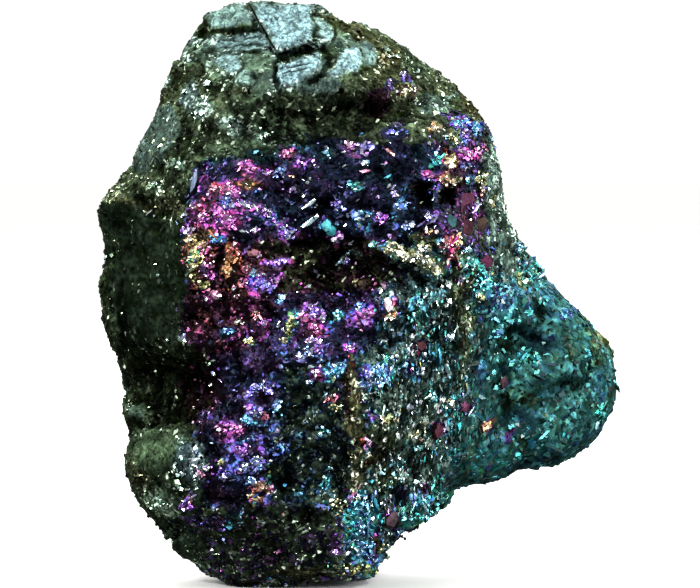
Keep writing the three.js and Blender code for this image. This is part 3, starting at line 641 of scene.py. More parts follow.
# Patches with an edge: centre, half sizes, turn, film, tarnished, light, hue
ACCENTS = (
    (350, 30, 40, 7, 25, 0.95, 0.0, 0.28, 0.80),
    (204, 26, 9, 9, 0, 0.95, 0.0, 0.10, 0.70),
    (232, 27, 22, 3, -4, 0.95, 0.0, 0.34, 0.65),
    (330, 56, 9, 10, 0, 0.9, 0.0, 0.26, 0.45),
    (197, 42, 6, 8, 20, 0.3, 0.0, 1.00, 0.20),
    (187, 58, 5, 5, 0, 0.3, 0.0, 1.00, 0.20),
    (169, 83, 4, 5, 0, 0.9, 0.0, 1.00, 0.30),
    (219, 74, 8, 6, 0, 0.9, 0.0, 0.85, 0.40),
    (204, 108, 11, 12, 20, 0.9, 0.0, 1.00, 0.20),
    (232, 128, 14, 9, 30, 0.9, 0.0, 0.72, 0.25),
    (264, 137, 12, 10, 0, 0.9, 0.0, 0.85, 0.35),
    (190, 98, 9, 16, 15, 0.9, 0.0, 0.60, 0.15),
    (210, 133, 20, 8, 8, 0.9, 0.0, 0.14, 0.60),
    (222, 88, 16, 6, 0, 0.9, 0.0, 0.12, 0.50),
    (240, 92, 10, 5, 0, 0.9, 0.0, 0.22, 0.70),
    (176, 163, 14, 6, 0, 0.9, 0.0, 0.85, 0.40),
    (155, 186, 10, 6, 20, 0.9, 0.0, 0.80, 0.40),
    (140, 193, 20, 5, 0, 0.9, 0.0, 0.10, 0.60),
    (193, 184, 4, 12, 10, 0.7, 0.0, 0.72, 0.00),
    (176, 205, 12, 10, 0, 0.9, 0.0, 0.48, 0.75),
    (166, 117, 3, 12, 15, 0.8, 0.0, 0.80, 0.10),
    (415, 62, 20, 12, 20, 0.9, 0.0, 0.46, 0.50),
    (388, 58, 16, 8, 0, 0.9, 0.0, 0.45, 0.90),
    (447, 97, 10, 4, -12, 0.9, 0.0, 0.85, 0.20),
    (435, 102, 16, 10, 0, 0.9, 0.0, 0.46, 0.25),
    (404, 78, 6, 5, 30, 0.52, 0.9, 0.50, 0.30),
    (390, 85, 5, 7, 30, 0.50, 0.9, 0.30, 0.80),
    (408, 92, 10, 7, 0, 0.02, 0.6, 0.42, 0.85),
    (380, 102, 15, 12, -20, 0.27, 0.9, 0.14, 0.80),
    (404, 118, 16, 9, -10, 0.50, 0.2, 0.13, 0.60),
    (395, 132, 14, 9, -10, 0.56, 1.0, 0.28, 0.50),
    (434, 127, 6, 6, 0, 0.04, 0.6, 0.65, 0.80),
    (416, 127, 10, 5, 0, 0.95, 0.2, 0.50, 0.60),
    (475, 105, 12, 9, 40, 0.97, 0.2, 0.40, 0.95),
    (130, 203, 30, 7, 3, 0.95, 0.0, 0.22, 0.85),
    (112, 197, 10, 6, 0, 0.95, 0.0, 0.80, 0.70),
    (160, 292, 14, 9, -30, 0.8, 0.0, 0.26, 0.15),
    # upper left of the tarnish
    (218, 213, 28, 26, 10, 0.37, 1.0, 0.62, 0.5),
    (200, 258, 15, 32, 0, 0.06, 1.0, 0.60, 0.8),
    (232, 262, 11, 30, -6, 0.20, 1.0, 0.28, 0.5),
    (260, 300, 13, 28, -12, 0.36, 1.0, 0.52, 0.5),
    (262, 284, 16, 12, 0, 0.53, 1.0, 0.75, 0.5),
    (262, 176, 30, 9, -12, 0.40, 1.0, 0.31, 0.5),
    (288, 154, 10, 7, -30, 0.33, 1.0, 0.44, 0.5),
    (305, 162, 13, 7, -10, 0.47, 1.0, 0.36, 0.5),
    (278, 172, 11, 6, -35, 0.62, 1.0, 0.70, 0.5),
    (246, 168, 14, 7, 25, 0.36, 1.0, 0.66, 0.5),
    (248, 184, 15, 6, 8, 0.10, 1.0, 0.29, 0.5),
    (216, 188, 11, 7, 0, 0.31, 1.0, 0.62, 0.5),
    (233, 190, 9, 7, 30, 0.36, 1.0, 0.62, 0.5),
    (226, 203, 6, 6, 0, 0.60, 1.0, 0.95, 0.5),
    (227, 221, 11, 11, 0, 0.38, 1.0, 1.00, 0.5),
    (205, 214, 10, 10, 0, 0.34, 1.0, 0.85, 0.5),
    (217, 239, 8, 6, 0, 0.68, 1.0, 1.00, 0.5),
    (190, 229, 9, 4, 8, 0.42, 0.9, 1.00, 0.5),
    (196, 243, 8, 10, 10, 0.01, 1.0, 0.85, 0.6),
    (193, 264, 4, 14, 0, 0.995, 1.0, 0.80, 0.8),
    (208, 268, 9, 9, 30, 0.40, 1.0, 0.48, 0.5),
    (228, 256, 3.5, 20, -4, 0.12, 1.0, 0.62, 0.5),
    (238, 256, 3.5, 18, -8, 0.19, 1.0, 0.58, 0.5),
    (219, 258, 4, 13, 0, 0.2, 1.0, 0.04, 0.5),
    (204, 284, 6, 4, 0, 0.99, 1.0, 0.90, 0.9),
    (255, 252, 9, 5, -10, 0.30, 1.0, 0.60, 0.5),
    (276, 263, 15, 5, -8, 0.50, 1.0, 0.62, 0.5),
    (262, 285, 13, 8, 10, 0.54, 1.0, 0.90, 0.5),
    (276, 277, 8, 7, 0, 0.42, 1.0, 0.55, 0.5),
    (262, 308, 9, 17, -20, 0.34, 1.0, 0.50, 0.5),
    (210, 299, 8, 6, 0, 0.40, 1.0, 0.60, 0.5),
    (279, 301, 3, 7, 30, 0.72, 1.0, 0.70, 0.5),
    (228, 331, 9, 5, 0, 0.68, 1.0, 0.42, 0.5),
    (251, 341, 6, 4, 20, 0.98, 1.0, 0.90, 0.9),
    (291, 326, 4, 17, 15, 0.97, 0.8, 0.50, 0.9),
    # middle
    (262, 214, 20, 5, 25, 0.50, 1.0, 0.55, 0.5),
    (288, 232, 14, 8, 25, 0.54, 1.0, 0.75, 0.5),
    (290, 192, 14, 4, 30, 0.47, 1.0, 0.60, 0.5),
    (245, 232, 16, 8, 0, 0.50, 1.0, 0.12, 0.5),
    (300, 186, 34, 20, 0, 0.55, 1.0, 0.12, 0.5),
    (352, 150, 14, 4, 35, 0.38, 1.0, 0.60, 0.5),
    (364, 146, 12, 5, 15, 0.52, 1.0, 0.45, 0.5),
    (328, 153, 8, 4, 0, 0.76, 1.0, 0.42, 0.5),
    (357, 185, 7, 6, 30, 0.80, 1.0, 0.42, 0.5),
    (401, 205, 5, 8, 0, 0.68, 1.0, 0.80, 0.5),
    (381, 221, 8, 6, 0, 0.46, 1.0, 0.55, 0.5),
    (336, 204, 7, 5, 20, 0.54, 1.0, 0.60, 0.5),
    (360, 214, 16, 3, 5, 0.68, 1.0, 0.62, 0.5),
    (406, 225, 12, 5, 10, 0.62, 1.0, 0.55, 0.5),
    (344, 227, 30, 9, 0, 0.68, 1.0, 0.44, 0.5),
    (336, 240, 6, 5, 30, 0.44, 1.0, 0.90, 0.5),
    (398, 252, 19, 8.5, 25, 0.985, 0.45, 1.00, 0.75),
    (420, 259, 17, 7, 18, 0.985, 0.45, 1.00, 0.75),
    (424, 240, 12, 8, 0, 0.98, 0.45, 0.34, 0.90),
    (440, 268, 14, 4, 5, 0.98, 0.45, 0.60, 0.80),
    (378, 244, 6, 2.5, 0, 0.78, 0.9, 0.85, 0.5),
    (345, 254, 14, 3, 0, 0.8, 0.2, 0.50, 0.3),
    (362, 284, 10, 6, 0, 0.12, 0.8, 0.22, 0.90),
    (348, 261, 8, 4, 20, 0.54, 1.0, 0.34, 0.3),
    # right shoulder
    (466, 124, 13, 4, 5, 0.68, 1.0, 1.00, 0.3),
    (476, 131, 4, 6, 0, 0.70, 1.0, 1.00, 0.3),
    (463, 136, 8, 6, 40, 0.52, 1.0, 0.62, 0.3),
    (464, 154, 7, 7, 0, 0.38, 1.0, 1.00, 0.5),
    (479, 152, 6, 6, 20, 0.37, 1.0, 0.80, 0.5),
    (466, 165, 12, 4, 0, 0.58, 1.0, 0.50, 0.5),
    (450, 160, 7, 7, 0, 0.04, 1.0, 0.90, 0.6),
    (437, 161, 4, 4, 0, 0.78, 1.0, 1.00, 0.5),
    (430, 175, 9, 5, 25, 0.36, 1.0, 0.80, 0.5),
    (450, 182, 14, 5, 8, 0.08, 0.5, 0.85, 0.6),
    (467, 181, 5, 6, 0, 0.76, 1.0, 0.70, 0.5),
    (480, 179, 7, 9, 0, 0.97, 0.6, 0.60, 0.7),
    (452, 138, 6, 10, -30, 0.98, 0.5, 0.42, 0.9),
    (422, 194, 8, 12, 0, 0.40, 0.3, 0.02, 0.6),
    (445, 194, 8, 7, 0, 0.40, 0.3, 0.02, 0.6),
    (433, 196, 4, 8, 0, 0.60, 1.0, 0.40, 0.5),
    (492, 203, 3, 7, 0, 0.97, 0.6, 0.80, 0.7),
    (478, 206, 7, 4, -25, 0.5, 0.2, 0.75, 0.3),
    (430, 217, 8, 5, 0, 0.52, 1.0, 0.70, 0.5),
    (430, 232, 9, 4, 0, 0.08, 1.0, 0.55, 0.7),
    (449, 253, 5, 20, 0, 0.20, 1.0, 0.80, 0.6),
    (457, 256, 3, 24, 0, 0.06, 1.0, 0.75, 0.8),
    (454, 268, 8, 9, 0, 0.98, 0.6, 0.35, 0.9),
    (472, 268, 9, 13, 30, 0.785, 1.0, 0.90, 0.5),
    (484, 283, 9, 10, 0, 0.77, 1.0, 0.95, 0.4),
    (480, 297, 7, 3, 0, 0.97, 1.0, 0.80, 0.4),
    (519, 247, 4, 4, 30, 0.74, 1.0, 1.00, 0.3),
    (536, 270, 5, 8, -30, 0.80, 1.0, 0.95, 0.3),
    (522, 281, 8, 5, 0, 0.90, 1.0, 0.75, 0.4),
    # lumps
    (310, 322, 14, 20, -25, 0.41, 1.0, 0.66, 0.5),
    (310, 352, 16, 12, -15, 0.57, 1.0, 0.75, 0.5),
    (366, 314, 11, 11, 0, 0.46, 1.0, 0.88, 0.5),
    (336, 370, 15, 9, -15, 0.66, 1.0, 0.92, 0.5),
    (377, 378, 15, 14, 0, 0.66, 1.0, 1.00, 0.5),
    (306, 317, 8, 7, 20, 0.37, 1.0, 1.00, 0.5),
    (314, 329, 7, 7, 20, 0.34, 1.0, 0.80, 0.5),
    (314, 308, 8, 4, 0, 0.50, 1.0, 0.62, 0.5),
    (323, 316, 4, 7, -15, 0.46, 1.0, 0.90, 0.5),
    (340, 314, 9, 7, 0, 0.74, 1.0, 0.42, 0.5),
    (362, 307, 7, 4, 0, 0.66, 1.0, 0.95, 0.5),
    (367, 316, 7, 7, 20, 0.40, 1.0, 0.95, 0.5),
    (390, 305, 6, 8, 0, 0.28, 0.6, 1.00, 0.5),
    (391, 317, 5, 4, 0, 0.03, 0.6, 0.95, 0.8),
    (313, 342, 11, 4, 10, 0.46, 1.0, 0.90, 0.5),
    (310, 356, 10, 8, -15, 0.60, 1.0, 0.60, 0.5),
    (318, 371, 9, 5, -30, 0.42, 0.9, 1.00, 0.4),
    (336, 371, 10, 6, -25, 0.70, 1.0, 1.00, 0.3),
    (380, 376, 11, 12, 0, 0.67, 1.0, 0.98, 0.3),
    (366, 372, 6, 8, 0, 0.58, 1.0, 0.80, 0.3),
    (350, 349, 8, 6, -15, 0.44, 1.0, 0.75, 0.5),
    (330, 398, 8, 4, -10, 0.22, 1.0, 0.90, 0.6),
    (336, 405, 5, 4, 0, 0.97, 0.9, 0.80, 0.9),
    (387, 359, 5, 3, 0, 0.80, 1.0, 0.85, 0.5),
    (421, 304, 6, 5, 30, 0.78, 1.0, 0.90, 0.3),
    (412, 316, 8, 7, 0, 0.80, 1.0, 0.60, 0.3),
    (422, 345, 7, 6, 0, 0.20, 0.9, 0.30, 0.7),
    (412, 372, 12, 8, 0, 0.66, 1.0, 0.36, 0.3),
    (452, 345, 9, 12, 0, 0.82, 1.0, 0.55, 0.3),
    # lower left
    (245, 455, 24, 30, -10, 0.56, 1.0, 0.60, 0.5),
    (228, 428, 18, 12, 0, 0.38, 1.0, 0.50, 0.5),
    (259, 397, 21, 16, 0, 0.57, 1.0, 0.72, 0.5),
    (264, 399, 7, 8, 0, 0.50, 1.0, 0.06, 0.5),
    (275, 406, 4, 8, 25, 0.68, 1.0, 0.95, 0.5),
    (248, 421, 7, 5, 0, 0.67, 1.0, 0.95, 0.5),
    (226, 430, 15, 8, 0, 0.36, 1.0, 0.50, 0.5),
    (240, 431, 3, 6, 0, 0.34, 1.0, 1.00, 0.5),
    (243, 451, 10, 7, 0, 0.46, 1.0, 0.75, 0.5),
    (256, 464, 7, 7, 0, 0.62, 1.0, 1.00, 0.5),
    (240, 470, 22, 5, -10, 0.56, 1.0, 0.85, 0.5),
    (252, 482, 5, 4, 0, 0.66, 1.0, 0.75, 0.5),
    (262, 487, 9, 4, 15, 0.10, 0.9, 1.00, 0.8),
    (253, 498, 5, 2.5, 0, 0.02, 1.0, 0.85, 0.9),
    (246, 507, 7, 9, 0, 0.97, 0.9, 0.26, 0.9),
    (272, 472, 9, 9, 0, 0.98, 0.9, 0.36, 0.9),
    (222, 464, 5, 3, 0, 0.97, 1.0, 0.70, 0.5),
    (202, 476, 5, 4, 0, 0.28, 1.0, 0.85, 0.5),
    (187, 503, 7, 8, 20, 0.46, 1.0, 0.70, 0.5),
    (282, 449, 11, 6, 0, 0.64, 1.0, 0.50, 0.5),
    (276, 430, 4, 7, -20, 0.50, 0.9, 0.95, 0.3),
    (200, 395, 20, 26, 0, 0.25, 0.9, 0.10, 0.8),
    (212, 490, 8, 18, 0, 0.46, 1.0, 0.14, 0.8),
    (205, 415, 8, 6, 0, 0.52, 1.0, 0.42, 0.5),
    (232, 522, 7, 9, 0, 0.84, 1.0, 0.34, 0.5),
    (208, 524, 20, 7, 5, 0.52, 0.9, 0.34, 0.5),
    (328, 480, 4, 11, 0, 0.76, 1.0, 0.75, 0.5),
    (297, 494, 8, 5, 0, 0.74, 1.0, 0.42, 0.5),
    (325, 430, 7, 5, 0, 0.78, 1.0, 0.48, 0.5),
    (338, 508, 9, 8, 0, 0.99, 0.8, 0.55, 0.9),
    (310, 520, 26, 8, 0, 0.4, 0.2, 0.10, 0.5),
    (334, 558, 14, 10, 0, 0.60, 0.3, 0.55, 0.5),
    (335, 547, 8, 9, 0, 0.48, 0.8, 0.46, 0.5),
    (190, 465, 14, 28, -15, 0.8, 0.0, 0.62, 0.05),
    (162, 503, 16, 9, 30, 0.8, 0.0, 0.85, 0.40),
    (140, 470, 14, 18, 0, 0.8, 0.0, 0.32, 0.80),
    (185, 545, 22, 12, 20, 0.8, 0.0, 0.26, 0.45),
    # rib, side, foot
    (438, 342, 14, 18, 0, 0.79, 0.7, 0.62, 0.2),
    (474, 414, 16, 20, 0, 0.78, 0.6, 0.78, 0.2),
    (440, 454, 15, 24, 0, 0.77, 0.5, 0.92, 0.2),
    (472, 454, 18, 20, 0, 0.81, 1.0, 0.82, 0.2),
    (438, 488, 12, 14, 0, 0.80, 0.9, 0.98, 0.2),
    (351, 395, 5, 40, 0, 0.02, 0.35, 0.52, 0.90),
    (356, 462, 6, 60, 2, 0.01, 0.25, 0.66, 0.80),
    (367, 443, 5, 5, 0, 0.36, 1.0, 0.95, 0.5),
    (370, 415, 5, 5, 0, 0.40, 1.0, 0.70, 0.5),
    (386, 419, 9, 4, 5, 0.99, 0.7, 0.65, 0.8),
    (375, 460, 12, 6, -30, 0.10, 0.4, 0.34, 0.9),
    (363, 528, 17, 38, 4, 0.745, 1.0, 1.00, 0.3),
    (364, 555, 9, 6, 0, 0.66, 1.0, 0.90, 0.3),
    (375, 545, 5, 9, 0, 0.08, 0.6, 0.22, 0.9),
    (362, 569, 24, 5, 3, 0.97, 0.6, 0.75, 0.8),
    (300, 573, 40, 5, -2, 0.97, 0.4, 0.36, 0.9),
    (414, 436, 5, 6, -50, 0.97, 0.4, 0.85, 0.6),
    (398, 495, 8, 9, 0, 0.62, 1.0, 0.45, 0.3),
    (392, 519, 8, 10, 0, 0.28, 0.6, 0.45, 0.9),
    (416, 514, 22, 14, -20, 0.79, 1.0, 0.95, 0.3),
    (415, 518, 6, 5, -20, 0.79, 1.0, 1.00, 0.3),
    (422, 504, 7, 3, 20, 0.76, 1.0, 0.90, 0.3),
    (443, 495, 8, 7, 0, 0.80, 1.0, 0.95, 0.3),
    (400, 533, 7, 4, -20, 0.68, 1.0, 0.60, 0.3),
    (432, 510, 14, 4, -30, 0.8, 0.6, 0.12, 0.3),
    (434, 396, 4, 6, 0, 0.79, 1.0, 0.95, 0.3),
    (440, 431, 5, 7, 0, 0.26, 0.9, 0.40, 0.7),
    (424, 490, 6, 6, 0, 0.30, 0.8, 0.32, 0.6),
    # back lobe
    (548, 362, 28, 36, 0, 0.80, 1.0, 0.26, 0.3),
    (503, 298, 16, 10, 0, 0.67, 1.0, 0.58, 0.2),
    (526, 298, 12, 10, 0, 0.75, 1.0, 0.68, 0.2),
    (507, 318, 8, 6, 0, 0.76, 1.0, 0.75, 0.3),
    (492, 315, 3, 5, 0, 0.74, 1.0, 0.95, 0.3),
    (563, 315, 5, 4, 0, 0.73, 1.0, 1.00, 0.3),
    (572, 310, 6, 4, 0, 0.60, 1.0, 0.70, 0.3),
    (545, 302, 4, 4, 0, 0.80, 1.0, 0.75, 0.3),
    (592, 318, 14, 6, 35, 0.94, 1.0, 0.60, 0.7),
    (600, 332, 4, 9, 0, 0.99, 1.0, 0.55, 0.8),
    (599, 362, 3, 20, 8, 0.95, 1.0, 0.42, 0.9),
    (542, 313, 7, 13, 0, 0.80, 0.9, 0.12, 0.3),
    (511, 338, 8, 14, 15, 0.85, 1.0, 0.12, 0.5),
    (536, 340, 22, 12, 10, 0.75, 0.9, 0.20, 0.3),
    (535, 360, 5, 4, 0, 0.79, 1.0, 1.00, 0.3),
    (514, 366, 7, 6, 30, 0.78, 1.0, 0.85, 0.3),
    (586, 355, 6, 4, 0, 0.77, 1.0, 0.80, 0.3),
    (572, 348, 4, 14, -10, 0.90, 1.0, 0.20, 0.6),
    (606, 366, 5, 16, 0, 0.76, 1.0, 0.60, 0.1),
    (600, 385, 10, 16, 10, 0.78, 1.0, 0.70, 0.2),
    (600, 411, 7, 6, 0, 0.82, 1.0, 0.80, 0.3),
    (503, 383, 4, 5, 0, 0.34, 1.0, 0.34, 0.6),
    (482, 370, 7, 12, 0, 0.72, 0.9, 0.55, 0.1),
    (505, 400, 4, 14, 25, 0.86, 1.0, 0.22, 0.6),
    (530, 398, 12, 7, 15, 0.86, 1.0, 0.38, 0.4),
    (562, 394, 6, 5, 0, 0.77, 1.0, 0.66, 0.2),
    (528, 412, 14, 8, 0, 0.74, 1.0, 0.36, 0.3),
    (465, 408, 4, 5, 0, 0.32, 1.0, 0.48, 0.5),
    (486, 425, 6, 4, 0, 0.05, 1.0, 0.70, 0.5),
    (495, 422, 4, 5, 0, 0.88, 1.0, 0.70, 0.3),
    (470, 442, 16, 12, 0, 0.80, 1.0, 0.78, 0.3),
    (490, 460, 12, 12, 0, 0.79, 1.0, 0.78, 0.3),
    (476, 469, 4, 3, 0, 0.80, 1.0, 1.00, 0.3),
    (512, 437, 8, 4, -40, 0.42, 1.0, 0.28, 0.5),
    (522, 442, 7, 9, 0, 0.86, 1.0, 0.34, 0.4),
    (532, 442, 4, 6, 0, 0.72, 1.0, 0.80, 0.3),
    (560, 440, 8, 4, 35, 0.83, 1.0, 0.60, 0.3),
    (548, 455, 14, 7, 0, 0.72, 1.0, 0.20, 0.5),
    (588, 440, 9, 14, 30, 0.75, 1.0, 0.50, 0.2),
    (530, 465, 24, 6, -8, 0.70, 0.8, 0.26, 0.3),
)


def kind_at(p, front):
    """Film, tarnish, light and hue at points, in millimetres; front is how far each faces the camera."""
    u, v = seen_at(p)
    uw = u + noise(p, 1.3, 80) * 8 + noise(p, 0.5, 90) * 6 + noise(p, 0.2, 94) * 3
    vw = v + noise(p, 1.3, 81) * 8 + noise(p, 0.5, 91) * 6 + noise(p, 0.2, 95) * 3
    acc = np.zeros((len(p), 4))
    total = np.full(len(p), 1e-9)
    # On the receding right-hand side, patches wander with depth.
    deep = smoothstep(-6.0, -1.5, p[:, 1]) * smoothstep(525, 505, u) * smoothstep(380, 440, u)
    uw = uw + noise(p, 1.8, 87) * 12 * deep
    vw = vw + (noise(p, 2.6, 86) * 60 + noise(p, 1.1, 89) * 30) * deep
    for cu, cv, ru, rv, *kind in BROAD:
        d2 = ((uw - cu) / ru) ** 2 + ((vw - cv) / rv) ** 2
        w = np.exp(-2.2 * d2) + 0.004 / (1 + d2) ** 3
        acc += w[:, None] * np.array(kind)
        total += w
    acc /= total[:, None]
    uw = u + noise(p, 0.8, 82) * 4 + noise(p, 0.3, 92) * 3.5
    vw = v + noise(p, 0.8, 83) * 4 + noise(p, 0.3, 93) * 3.5
    for cu, cv, ru, rv, turn, *kind in ACCENTS:
        near = (np.abs(uw - cu) < 2.2 * max(ru, rv)) & (np.abs(vw - cv) < 2.2 * max(ru, rv))
        w = spot(uw[near], vw[near], cu, cv, ru, rv, turn, edge=0.7)[:, None]
        acc[near] += (np.array(kind) - acc[near]) * w
    stained = acc[:, 1] > 0.5
    calm = polygon(u, v, LOBE, 34.0)
    acc[:, 0] += (0.10 - 0.075 * calm) * noise(p, 0.7, 84) * stained
    acc[:, 2] *= np.clip(1 + fbm(p, 0.9, 85, 2) * np.where(stained, 1.4 - 0.9 * acc[:, 2], 0.9) * (1 - 0.5 * calm), 0.15, 1.8)
    # Round the back: broad drifts of tarnish with bare fracture faces between.
    drift = fbm(p, 8.0, 200, 3)
    behind = np.stack(
        [
            0.60 + 0.75 * drift,
            smoothstep(-0.12, 0.10, fbm(p, 7.0, 210, 3) - 0.025 * (p[:, 2] - 15)) * smoothstep(-8.5, -5.0, p[:, 0]),
            np.clip(0.34 + 0.55 * fbm(p, 2.5, 220, 3), 0.05, 1),
            0.5 + 0.6 * fbm(p, 5.0, 230, 2),
        ],
        1,
    )
    return (front[:, None] * acc + (1 - front[:, None]) * behind).T


film, tarnish, light, hue = kind_at(V, front)
# The plates' own light, with its painted highlight and shade, replaces that round them.
for p, w in zip(PLATES, plates):
    if p[7] is not None:
        light += (p[7] - light) * w
    if p[8] is not None:
        hue += (p[8] - hue) * w
        tarnish *= 1 - w
# Painted shade: pits and cracks on the front are made darker.
light *= (1 - 0.85 * np.minimum(pit * 1.4, 1) * front) * (1 - 0.55 * crack * front)

# A map of the whole stone on a folded-out octahedron, for the maps baked from it.
heart = np.array([-1.4, 0.2, 13.4])


def octa(p):
    d = p - heart
    d = d / np.abs(d).sum(-1, keepdims=True)
    a, b, c = d[..., 0], d[..., 2], -d[..., 1]
    low = c < 0
    x = np.where(low, (1 - np.abs(b)) * np.where(a >= 0, 1, -1), a)
    y = np.where(low, (1 - np.abs(a)) * np.where(b >= 0, 1, -1), b)
    return np.stack([x, y], -1)


uv = octa(V)[F]
mid = octa(V[F].mean(1))
on_side = np.abs(mid[:, 0]) > np.abs(mid[:, 1])  # folds at left and right, or at top and bottom
jump = np.abs(uv - mid[:, None])
for k, rows in ((0, on_side), (1, ~on_side)):
    over = rows[:, None] & (jump[:, :, 1 - k] > 0.3)
    flip = uv.copy()
    flip[..., k] = 2 * np.sign(mid[:, None, k]) - uv[..., k]
    flip[..., 1 - k] = -uv[..., 1 - k]
    uv = np.where(over[..., None], flip, uv)
uv = uv * 0.492 + 0.5

u, v_ = seen_at(V)
deep_side = smoothstep(440, 480, u) * smoothstep(-5.5, -1.0, V[:, 1]) * noise(V, 2.2, 88) * 90
stria = front * np.maximum(spot(u, v_, 415, 400, 56, 150, 4, edge=0.6), 0.55 * spot(u, v_ + deep_side, 500, 195, 16, 60, edge=0.5))
body = mesh_object(
    "ore_body",
    V,
    F,
    smooth=True,
    attributes={
        "film": film, "tarnish": tarnish, "light": light, "hue": hue, "smooth": smooth, "cavity": cavity, "soft": soft,
        "stria": stria, "block": plates[BLOCK_AT], "cap_front": front * smoothstep(60, 50, v_),
    },
    uv=uv.reshape(-1, 2),
)
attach(body, "root")
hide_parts("peacock_ore")

# ---------------------------------------------------------------- grains
# Soft boxes: name, where (m), size (m), how bright. Grains on the front are often turned to catch one of these.
BOXES = (
    ("box_above", (-0.02, -0.04, 0.36), (0.30, 0.20), 0.9),
    ("box_cap", (0.01, 0.21, 0.30), (0.42, 0.30), 2.45),
    ("box_left_high", (-0.19, -0.20, 0.24), (0.06, 0.06), 38.0),
    ("box_right_high", (0.15, -0.24, 0.22), (0.055, 0.055), 38.0),
    ("box_near", (0.03, -0.34, 0.11), (0.045, 0.04), 33.5),
    ("box_left", (-0.24, -0.24, 0.06), (0.05, 0.05), 27.5),
    ("box_right", (0.30, -0.14, 0.10), (0.06, 0.06), 29.5),
    ("box_right_soft", (0.30, 0.16, 0.10), (0.26, 0.22), 0.9),
    ("box_back_right", (0.24, 0.24, 0.20), (0.08, 0.08), 14.0),
    ("box_back_left", (-0.26, 0.20, 0.18), (0.08, 0.08), 14.0),
    ("box_back", (0.02, 0.36, 0.08), (0.06, 0.06), 14.0),
)
HALVES = []
for _, at, _, _ in BOXES[2:7]:
    d = np.array(at) / MM - np.array([0, 0, 14])
    h = d / np.linalg.norm(d) + BACK
    HALVES.append(h / np.linalg.norm(h))
HALVES = np.array(HALVES)

rng = np.random.default_rng(7)
corner_a, corner_b, corner_c = V[F[:, 0]], V[F[:, 1]], V[F[:, 2]]
face_n = np.cross(corner_b - corner_a, corner_c - corner_a)
face_area = np.linalg.norm(face_n, axis=1) / 2
soft_n = relaxed(V, F, 5, values=normals(V, F))
soft_n /= np.linalg.norm(soft_n, axis=1, keepdims=True)


def scattered(weight, spacing, tries):
    """Places on the surface about this far apart, drawn where the weight of a triangle is high."""
    share = face_area * weight
    t = rng.choice(len(F), tries, p=share / share.sum())
    a, b = np.sqrt(rng.random(tries)), rng.random(tries)
    at = corner_a[t] * (1 - a)[:, None] + corner_b[t] * (a * (1 - b))[:, None] + corner_c[t] * (a * b)[:, None]
    key = np.floor(at / spacing + rng.random(3)).astype(np.int64)
    _, first = np.unique(key, axis=0, return_index=True)
    first.sort()
    return at[first], t[first]


def ring(rows, sides, jitter=0.36):
    k = np.arange(sides)
    a = (k + rng.uniform(-jitter, jitter, (rows, sides))) * math.tau / sides + rng.uniform(0, math.tau, (rows, 1))
    r = rng.uniform(0.62, 1.18, (rows, sides))
    return np.cos(a) * r, np.sin(a) * r


def grain_faces(sides):
    """Triangles of one grain: its top, its sides and its underside; the first sides are the top's corners."""
    top = [(0, k, k + 1) for k in range(1, sides - 1)]
    side = []
    for k in range(sides):
        j = (k + 1) % sides
        side += [(sides + k, sides + j, j), (sides + k, j, k)]
    under = [(sides, sides + k + 1, sides + k) for k in range(1, sides - 1)]
    return np.array(top + side + under), len(under)


def crystal_faces(sides):
    """As grain_faces, but with a low point in the top: vertex 0, then the top's corners, then the lower ones."""
    top = [(0, 1 + k, 1 + (k + 1) % sides) for k in range(sides)]
    side = []
    for k in range(sides):
        j = (k + 1) % sides
        side += [(1 + sides + k, 1 + sides + j, 1 + j), (1 + sides + k, 1 + j, 1 + k)]
    under = [(1 + sides, 2 + sides + k, 1 + sides + k) for k in range(1, sides - 1)]
    return np.array(top + side + under), len(under)


def grain_uv(count, sides, pointed=False):
    """A small square of the map for each grain: the top and its sides in one ring, the underside beside it."""
    n = math.ceil(math.sqrt(count))
    a = np.arange(sides) * math.tau / sides
    c = np.stack([np.cos(a), np.sin(a)], 1)
    tip = [np.zeros((1, 2))] if pointed else []
    near = np.concatenate(tip + [c * 0.15, c * 0.27]) + (0.3, 0.5)
    under = np.concatenate(tip + [c * 0.15, c * 0.15]) + (0.78, 0.5)
    faces, k = crystal_faces(sides) if pointed else grain_faces(sides)
    one = np.concatenate([near[faces[:-k]], under[faces[-k:]]]).reshape(-1, 2)
    cell = np.stack([np.arange(count) % n, np.arange(count) // n], 1)
    return ((cell[:, None] + one) / n).reshape(-1, 2)


